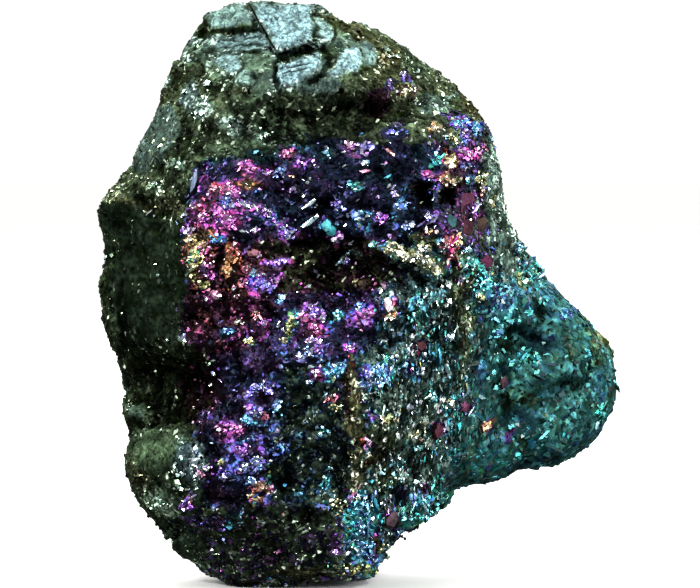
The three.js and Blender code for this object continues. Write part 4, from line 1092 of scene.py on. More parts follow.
def grain_piece(name, at, n, radius, height, sides, long, along, values, material, pointed=False):
    """One piece made of many closed angular grains, each sunk into the surface."""
    rows = len(at)
    t2 = np.cross(n, along)
    t2 /= np.linalg.norm(t2, axis=1, keepdims=True)
    t1 = np.cross(t2, n)
    x, y = ring(rows, sides)
    r, lo = radius[:, None], long[:, None]
    flat = (
        t1[:, None] * (x * r * lo)[..., None] + t2[:, None] * (y * r / np.sqrt(lo))[..., None]
    )
    uneven = 0.06 if pointed else 0.2
    lift = height[:, None] * rng.uniform(1 - uneven, 1 + uneven, (rows, sides))
    top = at[:, None] + flat * rng.uniform(0.55, 0.9, (rows, 1, 1)) + n[:, None] * lift[..., None]
    low = at[:, None] + flat * 1.1 - n[:, None] * (radius * 1.1)[:, None, None]
    layers = [top, low]
    if pointed:
        k = rng.integers(0, sides, rows)
        tip = top.mean(1) + (top[np.arange(rows), k] - top.mean(1)) * rng.uniform(0.1, 0.6, (rows, 1))
        layers = [(tip + n * (radius * rng.uniform(0.02, 0.15, rows))[:, None])[:, None]] + layers
    v = np.concatenate(layers, 1)
    v[..., 2] = np.maximum(v[..., 2], 0.002)
    f, _ = crystal_faces(sides) if pointed else grain_faces(sides)
    each = v.shape[1]
    faces = (f[None] + (np.arange(rows) * each)[:, None, None]).reshape(-1, 3)
    # The outer sides must face out whichever way the corners run.
    a, b, c = v[:, 1 if pointed else 0], v[:, 2 if pointed else 1], v[:, 3 if pointed else 2]
    turned = (np.cross(b - a, c - a) * n).sum(1) < 0
    faces = faces.reshape(rows, -1, 3)
    faces[turned] = faces[turned][:, :, ::-1]
    uv = grain_uv(rows, sides, pointed).reshape(rows, -1, 3, 2)
    uv[turned] = uv[turned][:, :, ::-1]
    ob = mesh_object(
        name,
        v.reshape(-1, 3),
        faces.reshape(-1, 3),
        attributes={k: np.repeat(x, each) for k, x in values.items()},
        uv=uv.reshape(-1, 2),
    )
    ob.data.materials.append(material)
    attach(ob, "root")
    return ob


# ---------------------------------------------------------------- material
def ramp(nt, stops, interpolation="LINEAR"):
    n = nt.nodes.new("ShaderNodeValToRGB")
    n.color_ramp.interpolation = interpolation
    e = n.color_ramp.elements
    while len(e) > 1:
        e.remove(e[-1])
    e[0].position, e[0].color = stops[0][0], (*stops[0][1], 1)
    for at, colour in stops[1:]:
        x = e.new(at)
        x.color = (*colour, 1)
    return n


def maths(nt, kind, a, b=None, c=None, clamp=False):
    n = nt.nodes.new("ShaderNodeMath")
    n.operation, n.use_clamp = kind, clamp
    for i, x in enumerate((a, b, c)):
        if x is None:
            continue
        if isinstance(x, (int, float)):
            n.inputs[i].default_value = x
        else:
            nt.links.new(x, n.inputs[i])
    return n.outputs[0]


def vector(nt, kind, a, b=None, scale=None):
    n = nt.nodes.new("ShaderNodeVectorMath")
    n.operation = kind
    for i, x in enumerate((a, b)):
        if x is None:
            continue
        if isinstance(x, tuple):
            n.inputs[i].default_value = x
        else:
            nt.links.new(x, n.inputs[i])
    if scale is not None:
        if isinstance(scale, (int, float)):
            n.inputs["Scale"].default_value = scale
        else:
            nt.links.new(scale, n.inputs["Scale"])
    return n.outputs["Value"] if kind in ("DOT_PRODUCT", "LENGTH") else n.outputs[0]


def mix_colour(nt, share, a, b, kind="MIX"):
    n = nt.nodes.new("ShaderNodeMix")
    n.data_type, n.blend_type = "RGBA", kind
    if isinstance(share, (int, float)):
        n.inputs[0].default_value = share
    else:
        nt.links.new(share, n.inputs[0])
    for i, x in ((6, a), (7, b)):
        if isinstance(x, tuple):
            n.inputs[i].default_value = (*x, 1)
        else:
            nt.links.new(x, n.inputs[i])
    return n.outputs[2]


def between(nt, x, low, high):
    """0 at low, 1 at high, smooth between."""
    n = nt.nodes.new("ShaderNodeMapRange")
    n.interpolation_type = "SMOOTHSTEP"
    nt.links.new(x, n.inputs["Value"])
    for key, value in (("From Min", low), ("From Max", high)):
        if isinstance(value, (int, float)):
            n.inputs[key].default_value = value
        else:
            nt.links.new(value, n.inputs[key])
    return n.outputs["Result"]


def beside(nt, co, a, b):
    """Signed distance, in mm, from the plane that shows in the frame as the line from a to b."""
    ray = []
    for x, y in (a, b):
        k = SENSOR / (LENS * FRAME_W)
        ray.append(-BACK + (x - FRAME_W / 2) * k * np.array([1.0, 0, 0]) + (FRAME_H / 2 - y) * k * UP)
    n = np.cross(ray[0], ray[1])
    n /= np.linalg.norm(n)
    far = vector(nt, "DOT_PRODUCT", co, tuple(float(x) for x in n / MM))
    return maths(nt, "SUBTRACT", far, float(EYE @ n))


FILM = [
    (0.00, (0.86, 0.70, 0.26)),
    (0.045, (0.88, 0.56, 0.18)),
    (0.09, (0.85, 0.38, 0.10)),
    (0.18, (0.80, 0.10, 0.05)),
    (0.27, (0.66, 0.02, 0.14)),
    (0.37, (0.85, 0.05, 0.62)),
    (0.46, (0.50, 0.06, 0.88)),
    (0.55, (0.14, 0.08, 0.85)),
    (0.64, (0.04, 0.20, 0.90)),
    (0.72, (0.02, 0.55, 0.85)),
    (0.80, (0.01, 0.58, 0.50)),
    (0.88, (0.03, 0.45, 0.20)),
    (0.95, (0.42, 0.46, 0.09)),
    (1.00, (0.84, 0.72, 0.26)),
]
FILM = [(t, tuple(0.91 * x + 0.055 for x in c)) for t, c in FILM]


def pieces_of_material(name):
    m = bpy.data.materials.new(name)
    m.use_nodes = True
    nt = m.node_tree
    p = nt.nodes["Principled BSDF"]
    p.inputs["Metallic"].default_value = 1.0
    co = nt.nodes.new("ShaderNodeTexCoord").outputs["Object"]

    def attribute(key):
        a = nt.nodes.new("ShaderNodeAttribute")
        a.attribute_name = key
        return a.outputs["Fac"]

    def voronoi(size, stretch=None):
        n = nt.nodes.new("ShaderNodeTexVoronoi")
        if stretch is None:
            nt.links.new(co, n.inputs["Vector"])
        else:
            nt.links.new(vector(nt, "MULTIPLY", co, stretch), n.inputs["Vector"])
        n.inputs["Scale"].default_value = 1 / (size * MM)
        c = nt.nodes.new("ShaderNodeSeparateColor")
        nt.links.new(n.outputs["Color"], c.inputs[0])
        return n.outputs["Color"], c.outputs

    def fractal(size, detail=3, stretch=None):
        n = nt.nodes.new("ShaderNodeTexNoise")
        nt.links.new(co if stretch is None else vector(nt, "MULTIPLY", co, stretch), n.inputs["Vector"])
        n.inputs["Scale"].default_value = 1 / (size * MM)
        n.inputs["Detail"].default_value = detail
        return n.outputs["Fac"]

    return m, nt, p, co, attribute, voronoi, fractal


def ore_material():
    m, nt, p, co, attribute, voronoi, fractal = pieces_of_material("ore")
    film, tarnish, light, hue, smooth, cavity, soft, stria, block = (
        attribute(n) for n in ("film", "tarnish", "light", "hue", "smooth", "cavity", "soft", "stria", "block")
    )
    # Reflections stay dark at a low angle too.
    p.inputs["Specular Tint"].default_value = (0.52, 0.57, 0.49, 1)
    turn_b, b = voronoi(0.36)
    turn_s, s = voronoi(0.17)
    turn_w, w = voronoi(0.80)
    fine_noise = fractal(0.25, 4, (1.0, 0.45, 1.0))
    mottle = fractal(0.55, 4, (1.0, 0.45, 1.0))
    drift = fractal(0.8, 3)
    streak = fractal(0.16, 3, (1.0, 1.0, 0.16))

    # Film thickness, a little different on each grain.
    f = maths(nt, "MULTIPLY_ADD", maths(nt, "SUBTRACT", b[0], 0.5), 0.13, maths(nt, "MULTIPLY_ADD", maths(nt, "SUBTRACT", s[0], 0.5), 0.09, 0.0))
    f = maths(nt, "MULTIPLY_ADD", f, maths(nt, "MULTIPLY_ADD", soft, -0.45, 1.0), film)
    f = maths(nt, "MULTIPLY_ADD", maths(nt, "MULTIPLY", maths(nt, "SUBTRACT", w[0], 0.5), soft), 0.05, f)
    f = maths(nt, "PINGPONG", f, 1.0)
    colour = ramp(nt, FILM)
    nt.links.new(f, colour.inputs[0])

    # Some grains are hardly coated, and so nearly grey.
    plain_share = maths(nt, "MULTIPLY_ADD", maths(nt, "MULTIPLY", s[1], b[1]), 0.45, 0.03)
    plain_share = maths(nt, "ADD", plain_share, maths(nt, "MULTIPLY", between(nt, light, 0.42, 0.12), 0.12))
    colour_f = mix_colour(nt, plain_share, colour.outputs[0], (0.60, 0.68, 0.74))
    # Tarnished: dull dark grains with bright ones among them, more where light is high.
    mixed = maths(nt, "MULTIPLY_ADD", b[2], 0.60, maths(nt, "MULTIPLY", s[2], 0.40))
    bar = maths(nt, "MULTIPLY_ADD", light, -0.55, 0.87)
    bright = between(nt, mixed, bar, maths(nt, "ADD", bar, 0.16))
    dull = mix_colour(nt, 0.50, (0.050, 0.058, 0.064), mix_colour(nt, 1.0, colour.outputs[0], (0.16, 0.16, 0.16), "MULTIPLY"))
    dull = mix_colour(nt, 1.0, dull, maths(nt, "MULTIPLY_ADD", light, 1.65, 0.06), "MULTIPLY")
    lit = mix_colour(nt, 1.0, colour_f, maths(nt, "MULTIPLY_ADD", light, 1.10, 0.15), "MULTIPLY")
    tarnished = mix_colour(nt, bright, dull, lit)
    # On the rounded back lobe the colour lies in broad smooth patches.
    even = maths(nt, "MULTIPLY", maths(nt, "MULTIPLY_ADD", light, 0.85, 0.11), maths(nt, "MULTIPLY_ADD", between(nt, drift, 0.36, 0.62), 0.60, 0.65))
    even = maths(nt, "MULTIPLY", even, maths(nt, "MULTIPLY_ADD", between(nt, fractal(0.26, 2, (1.0, 0.6, 0.6)), 0.36, 0.64), 0.70, 0.65))
    even = maths(nt, "MULTIPLY", even, maths(nt, "MULTIPLY_ADD", maths(nt, "MULTIPLY", b[2], b[2]), 0.62, 0.60))
    even = maths(nt, "MULTIPLY", even, maths(nt, "MULTIPLY_ADD", s[2], 0.36, 0.76))
    tarnished = mix_colour(nt, maths(nt, "MULTIPLY", soft, 0.88), tarnished, mix_colour(nt, 1.0, mix_colour(nt, 0.24, colour.outputs[0], (0.42, 0.52, 0.52)), even, "MULTIPLY"))

    # Bare: mottled grey, blue-grey to brown, with pale specks.
    tint = ramp(nt, [(0.0, (0.58, 0.92, 1.00)), (0.5, (0.64, 1.0, 0.56)), (1.0, (1.0, 0.88, 0.36))])
    nt.links.new(hue, tint.inputs[0])
    speck_bar = maths(nt, "MULTIPLY_ADD", light, -0.30, 0.90)
    speck = between(nt, mixed, speck_bar, maths(nt, "ADD", speck_bar, 0.12))
    speck = maths(nt, "MULTIPLY", speck, maths(nt, "SUBTRACT", 1.0, smooth))
    value = maths(nt, "MULTIPLY_ADD", between(nt, mottle, 0.36, 0.62), maths(nt, "MULTIPLY_ADD", smooth, -0.08, 0.42), maths(nt, "MULTIPLY_ADD", smooth, 0.42, 0.12))
    value = maths(nt, "MULTIPLY", value, maths(nt, "MULTIPLY_ADD", between(nt, fine_noise, 0.40, 0.56), maths(nt, "MULTIPLY_ADD", smooth, -0.08, 0.60), maths(nt, "MULTIPLY_ADD", smooth, 0.20, 0.34)))
    pock = between(nt, fractal(0.15, 1, (1.0, 0.5, 1.0)), 0.36, 0.44)
    value = maths(nt, "MULTIPLY", value, maths(nt, "SUBTRACT", 1.0, maths(nt, "MULTIPLY", smooth, maths(nt, "MULTIPLY_ADD", pock, -0.50, 0.50))))
    # Thin dark veins on the smooth plates.
    vein = between(nt, maths(nt, "ABSOLUTE", maths(nt, "SUBTRACT", fractal(0.50, 2, (1.0, 0.4, 1.0)), 0.5)), 0.0, 0.045)
    vein = maths(nt, "MULTIPLY", vein, maths(nt, "MULTIPLY_ADD", between(nt, maths(nt, "ABSOLUTE", maths(nt, "SUBTRACT", fractal(0.24, 2, (1.0, 0.4, 1.0)), 0.5)), 0.0, 0.06), 0.5, 0.5))
    vein = maths(nt, "MAXIMUM", vein, between(nt, fractal(1.2, 2, (1.0, 0.4, 1.0)), 0.56, 0.74))
    value = maths(nt, "MULTIPLY", value, maths(nt, "SUBTRACT", 1.0, maths(nt, "MULTIPLY", smooth, maths(nt, "MULTIPLY_ADD", vein, -0.80, 0.80))))
    lumps = maths(nt, "MULTIPLY", maths(nt, "MULTIPLY_ADD", between(nt, fractal(1.0, 3, (1.0, 0.22, 1.0)), 0.36, 0.64), 0.60, 0.22), maths(nt, "MULTIPLY_ADD", between(nt, fractal(0.22, 3, (1.0, 0.18, 1.0)), 0.42, 0.60), 0.80, 0.45))
    value = maths(nt, "MULTIPLY_ADD", maths(nt, "SUBTRACT", lumps, value), block, value)
    value = maths(nt, "MULTIPLY", value, light)
    bare = mix_colour(nt, 1.0, tint.outputs[0], value, "MULTIPLY")
    bare = mix_colour(nt, speck, bare, mix_colour(nt, 0.45, tint.outputs[0], (0.95, 0.93, 0.95)))

    t = maths(nt, "MULTIPLY_ADD", b[1], 0.5, tarnish)
    t = maths(nt, "MULTIPLY_ADD", s[1], 0.2, t)
    t = between(nt, t, 0.75, 0.95)
    base = mix_colour(nt, t, bare, tarnished)
    # Pale and dark lines down the right-hand side.
    lines = maths(nt, "MULTIPLY_ADD", between(nt, streak, 0.38, 0.62), 1.5, 0.35)
    lines = maths(nt, "MULTIPLY_ADD", maths(nt, "SUBTRACT", lines, 1.0), stria, 1.0)
    base = mix_colour(nt, 1.0, base, lines, "MULTIPLY")
    # One long fine crack down the cap: a shallow groove in the shape, darkened in the colour with painted shade.
    wander = maths(nt, "MULTIPLY_ADD", fractal(0.9, 2), 0.16, -0.08)
    gap = maths(nt, "ABSOLUTE", maths(nt, "ADD", beside(nt, co, (248.5, 3), (275.5, 51)), wander))
    reach = maths(nt, "MULTIPLY", between(nt, beside(nt, co, (300, 53), (240, 53)), 0.0, 0.15), between(nt, attribute("cap_front"), 0.3, 0.6))
    line = maths(nt, "MULTIPLY", between(nt, gap, 0.075, 0.030), reach)
    # Painted shade: a near-black line along the crack.
    base = mix_colour(nt, line, base, (0.004, 0.005, 0.004))
    # Painted shade: the colour darkens in hollows, and in the cracks and pits counted with them.
    hollow_shade = between(nt, cavity, 0.12, -0.03)
    base = mix_colour(nt, 1.0, base, maths(nt, "MULTIPLY_ADD", hollow_shade, 0.80, 0.20), "MULTIPLY")
    nt.links.new(base, p.inputs["Base Color"])

    r = maths(nt, "MULTIPLY_ADD", s[1], 0.14, 0.34)
    plain = maths(nt, "SUBTRACT", 1.0, t)
    r = maths(nt, "MULTIPLY_ADD", maths(nt, "MULTIPLY", plain, maths(nt, "SUBTRACT", 1.0, speck)), 0.06, r)
    r = maths(nt, "MULTIPLY_ADD", soft, 0.10, r)
    nt.links.new(r, p.inputs["Roughness"])

    # Each grain faces its own way; smooth plates less so.
    geometry = nt.nodes.new("ShaderNodeNewGeometry").outputs["Normal"]
    loose = maths(nt, "MULTIPLY", maths(nt, "MULTIPLY_ADD", smooth, -0.80, 1.0), maths(nt, "MULTIPLY_ADD", soft, -0.58, 1.0))
    loose = maths(nt, "MULTIPLY", loose, maths(nt, "MULTIPLY_ADD", block, -0.75, 1.0))
    n = vector(nt, "SCALE", vector(nt, "SUBTRACT", turn_b, (0.5, 0.5, 0.5)), scale=maths(nt, "MULTIPLY", loose, 0.60))
    n = vector(nt, "ADD", geometry, n)
    n2 = vector(nt, "SCALE", vector(nt, "SUBTRACT", turn_s, (0.5, 0.5, 0.5)), scale=maths(nt, "MULTIPLY", loose, 0.40))
    n = vector(nt, "ADD", n, n2)
    # The back lobe undulates softly instead; so does the left block.
    swell = nt.nodes.new("ShaderNodeTexNoise")
    nt.links.new(vector(nt, "MULTIPLY", co, (1.0, 0.6, 0.6)), swell.inputs["Vector"])
    swell.inputs["Scale"].default_value = 1 / (0.55 * MM)
    swell.inputs["Detail"].default_value = 2
    n3 = vector(nt, "SCALE", vector(nt, "SUBTRACT", swell.outputs["Color"], (0.5, 0.5, 0.5)), scale=maths(nt, "MULTIPLY_ADD", soft, 1.1, maths(nt, "MULTIPLY_ADD", block, 0.8, maths(nt, "MULTIPLY", smooth, 0.6))))
    n = vector(nt, "ADD", n, n3)
    nt.links.new(vector(nt, "NORMALIZE", n), p.inputs["Normal"])
    return m


def grain_material():
    m, nt, p, co, attribute, voronoi, fractal = pieces_of_material("ore_grains")
    p.inputs["Specular Tint"].default_value = (0.60, 0.62, 0.58, 1)
    film, tarnish, shine, hue, rough, pale = (attribute(n) for n in ("film", "tarnish", "shine", "hue", "rough", "pale"))
    wisp = fractal(0.12, 2)
    f = maths(nt, "MULTIPLY_ADD", wisp, 0.10, film)
    f = maths(nt, "SUBTRACT", f, 0.05)
    f = maths(nt, "PINGPONG", f, 1.0)
    colour = ramp(nt, FILM)
    nt.links.new(f, colour.inputs[0])
    tint = ramp(nt, [(0.0, (0.68, 0.96, 1.00)), (0.5, (0.74, 1.0, 0.68)), (1.0, (1.0, 0.92, 0.52))])
    nt.links.new(hue, tint.inputs[0])
    coated = mix_colour(nt, pale, colour.outputs[0], (0.78, 0.84, 0.88))
    base = mix_colour(nt, tarnish, tint.outputs[0], coated)
    k = maths(nt, "MULTIPLY", shine, maths(nt, "MULTIPLY_ADD", between(nt, wisp, 0.3, 0.6), 0.35, 0.65))
    nt.links.new(mix_colour(nt, 1.0, base, k, "MULTIPLY"), p.inputs["Base Color"])
    nt.links.new(rough, p.inputs["Roughness"])
    return m


body.data.materials.append(ore_material())
grain_look = grain_material()

TINY = 1e-6


def unit(x):
    return x / np.linalg.norm(x, axis=-1, keepdims=True)


def catching(n, rows, loose):
    """Directions near n that send one of the boxes' light to the camera, and how far each lies from n."""
    fit = n @ HALVES.T + rng.normal(0, 0.10, (rows, len(HALVES)))
    aimed = unit(HALVES[fit.argmax(1)] + rng.normal(0, 1, (rows, 3)) * np.reshape(loose, (-1, 1)))
    return aimed, (aimed * n).sum(1)


def right_side(at):
    """1 on the finely streaked right-hand side of the front."""
    gu, gv = seen_at(at)
    return spot(gu, gv, 420, 410, 58, 165, 4, edge=0.6)


def lie(at, rows):
    """Which way long grains lie: up and down the right-hand side, slanting elsewhere."""
    side = right_side(at)
    pick = rng.random(rows)[:, None]
    way = np.where(pick < 0.5, np.array([1, 0.1, 0.7]), np.where(pick < 0.75, np.array([1, 0.1, -0.8]), np.array([1, 0, 0.05])))
    way = np.where((rng.random(rows) < side)[:, None], np.array([0.12, 0, 1.0]), way)
    return way + rng.normal(0, 0.25, (rows, 3))


def place(weight, spacing, tries):
    at, t = scattered(weight[F].mean(1) + TINY, spacing, tries)
    f = front[F[t]].mean(1)
    return at, unit(soft_n[F[t]].mean(1)), f, kind_at(at, f), cavity[F[t]].mean(1), soft[F[t]].mean(1)


def scatter_pieces(stem, at, n, radius, height, sides, long, along, values, most, pointed, front_g):
    """The grains sorted into pieces by where they lie on the stone."""
    gu, gv = seen_at(at)
    zone = np.where(
        front_g < 0.35,
        5 + (at[:, 0] > 0),
        np.select([gu > 462, gv < 165, (gv < 345) & (gu < 300), gv < 345], [4, 0, 1, 2], 3),
    )
    for z, zname in enumerate(("cap", "upper_left", "middle", "lower", "right_lobe", "back_left", "back_right")):
        rows_z = np.flatnonzero(zone == z)
        parts = max(1, math.ceil(len(rows_z) / most))
        for k in range(parts):
            q = rows_z[k::parts]
            if len(q) < 3:
                continue
            grain_piece(
                f"{stem}_{zname}" + (f"_{k + 1}" if parts > 1 else ""),
                at[q], n[q], radius[q], height[q], sides, long[q], along[q],
                {key: x[q] for key, x in values.items()}, grain_look, pointed,
            )


# Fine grains, most of them dull.
weight_v = (1 - 0.97 * smooth) * (0.25 + 0.75 * np.clip(tarnish, 0, 1)) * (0.35 + 0.65 * np.clip(light, 0, 1)) * (V[:, 2] > 0.12)
weight_v *= (0.30 + 0.70 * front) * (1 - 0.85 * front * spot(u, v_, 285, 45, 115, 50, edge=0.3)) * (1 - 0.945 * soft) * (1 - 0.998 * np.minimum(crack * 1.5, 1) * front)
weight_v *= 1 - 0.85 * front * spot(u, v_, 140, 275, 46, 75, edge=0.4)
at, n_g, front_g, (g_film, g_tarnish, g_light, g_hue), g_cavity, g_soft = place(weight_v, 0.235, 200_000)
rows = len(at)
g_film = g_film + rng.normal(0, 0.045, rows)
g_film = np.where((rng.random(rows) < 0.12) & (g_soft < 0.4), g_film + rng.uniform(-0.30, 0.30, rows), g_film)
glint = (rng.random(rows) < 0.42 * smoothstep(0.02, 0.28, fbm(at, 2.2, 340, 2))) & (g_soft > 0.4)
g_film = g_film + rng.normal(0, 0.045, rows) * (g_soft > 0.4)
g_film = np.where(glint, rng.uniform(0.755, 0.81, rows), g_film)
g_film = 1 - np.abs(1 - np.abs(g_film))
g_side = right_side(at)
g_tarnish = (g_tarnish + rng.normal(0, 0.15, rows) > 0.5).astype(float)
g_light = np.clip(g_light, 0, 1)
stained = g_tarnish > 0.5
bright = rng.random(rows) < np.where(stained, 0.02 + 0.60 * g_light**1.6, 0.01 + 0.26 * g_light**2)
shine = np.where(bright, rng.uniform(0.35, 1.0, rows), rng.uniform(0.06, 0.30, rows) * g_light)
shine = np.where(stained | bright, shine, rng.uniform(0.08, 0.44, rows) * g_light)
shine = shine + ((0.22 + 0.46 * smoothstep(-0.18, 0.22, fbm(at, 1.5, 350, 2)) + rng.uniform(-0.10, 0.12, rows)) * g_light - shine) * g_soft
shine = np.where(glint, rng.uniform(0.6, 1.0, rows), shine)
# Painted shade: grains in hollows are darker.
shine *= smoothstep(0.22, 0.0, g_cavity) * 0.80 + 0.20
g_pale = np.where(rng.random(rows) < 0.16 + 0.25 * g_side + 0.34 * (1 - g_light) * (1 - g_soft), rng.uniform(0.3, 0.8, rows), rng.uniform(0.0, 0.08, rows))
g_pale = np.where(bright, g_pale, np.maximum(g_pale, 0.40 - 0.25 * g_soft))
n_top = unit(n_g + rng.normal(0, 0.30, (rows, 3)) * (1 - 0.45 * g_soft)[:, None])
aimed, near_n = catching(n_g, rows, 0.10)
caught = (rng.random(rows) < np.where(stained, 0.02 + 0.40 * g_light, 0.01 + 0.12 * g_light) * front_g) & (near_n > 0.62) & (g_soft < 0.6)
caught |= glint & (near_n > 0.70)
n_top = np.where(caught[:, None], aimed, n_top)
size = rng.lognormal(math.log(0.084), 0.34, rows) * np.where(stained, 1.0, 0.85) * (1 + 1.1 * g_soft)
size = np.clip(size, 0.035, 0.22 + 0.06 * g_soft)
height = size * rng.uniform(0.10, 0.55, rows) * (1 - 0.65 * g_soft)
long = np.where(rng.random(rows) < 0.12 + 0.50 * g_side, rng.uniform(1.6, 3.0, rows), rng.uniform(0.9, 1.35, rows))
g_rough = np.where(bright, rng.uniform(0.22, 0.42, rows), rng.uniform(0.30, 0.46, rows)) + 0.08 * g_soft
g_rough = np.where(g_soft > 0.4, rng.uniform(0.42, 0.52, rows), g_rough)
g_rough = np.where(glint, rng.uniform(0.34, 0.42, rows), g_rough)
values = {"film": g_film, "tarnish": g_tarnish, "shine": shine, "hue": g_hue, "rough": g_rough, "pale": g_pale}
fine_count = rows
scatter_pieces("grains", at, n_top, size, height, 4, long, lie(at, rows), values, 15500, False, front_g)

# Larger crystals that stand out brightly, more of them where light is high.
weight_v = (1 - 0.97 * smooth) * (V[:, 2] > 0.15) * (1 - 0.6 * front * spot(u, v_, 285, 45, 110, 46, edge=0.3)) * (1 - 0.998 * np.minimum(crack * 1.5, 1) * front)
at, n_g, front_g, (g_film, g_tarnish, g_light, g_hue), g_cavity, g_soft = place(weight_v, 0.30, 150_000)
g_light = np.clip(g_light, 0, 1)
chance = np.where(g_tarnish > 0.5, 0.03 + 0.80 * g_light**1.6, 0.01 + 0.26 * g_light**2.0)
# Fewer of them in hollows: painted shade.
chance *= (0.22 + 0.78 * front_g) * (front_g + (1 - front_g) * smoothstep(-0.05, 0.22, fbm(at, 3.0, 240, 2)) * 1.6) * (1 - 0.93 * g_soft) * (smoothstep(0.20, 0.02, g_cavity) * 0.8 + 0.2)
keep = rng.random(len(at)) < chance
at, n_g, front_g, g_soft = at[keep], n_g[keep], front_g[keep], g_soft[keep]
g_film, g_tarnish, g_light, g_hue = g_film[keep], g_tarnish[keep], g_light[keep], g_hue[keep]
rows = len(at)
g_film = g_film + rng.normal(0, 0.04, rows)
g_film = np.where((rng.random(rows) < 0.10) & (g_soft < 0.4), g_film + rng.uniform(-0.3, 0.3, rows), g_film)
g_side = right_side(at)
sharp = rng.random(rows) < (0.28 + 0.15 * g_side + 0.15 * (g_tarnish < 0.5)) * (g_soft < 0.3)  # the rest are rougher, and keep their colour in strong light
g_pale = np.where(sharp, rng.uniform(0.2, 0.9, rows) * (1 - 0.25 * g_side), rng.uniform(0.0, 0.14, rows) + 0.26 * smoothstep(0.42, 0.15, g_light))
radius = np.clip(rng.lognormal(math.log(0.092), 0.34, rows) * (0.85 + 0.50 * g_light), 0.045, 0.22) * np.where(g_tarnish > 0.5, 1.0, 0.8) * (1 - 0.15 * g_side)
aimed, near_n = catching(n_g, rows, np.where(sharp, 0.04, 0.09))
n_top = np.where(((near_n > 0.45) & (rng.random(rows) < 0.30 + 0.55 * front_g))[:, None], aimed, unit(n_g + rng.normal(0, 0.3, (rows, 3))))
long = np.where(rng.random(rows) < 0.20 + 0.40 * g_side, rng.uniform(1.8, 3.4, rows), rng.uniform(0.9, 1.4, rows))
bold = [
    at, n_top, radius * (1 + 0.25 * g_soft), long, g_film, (g_tarnish > 0.5).astype(float),
    rng.uniform(0.45, 1.0, rows) * (1 - 0.45 * g_soft), g_hue,
    np.where(sharp, rng.uniform(0.16, 0.26, rows), rng.uniform(0.28, 0.42, rows)) + 0.12 * g_soft, np.maximum(g_pale, 0.25 * g_soft), front_g,
]

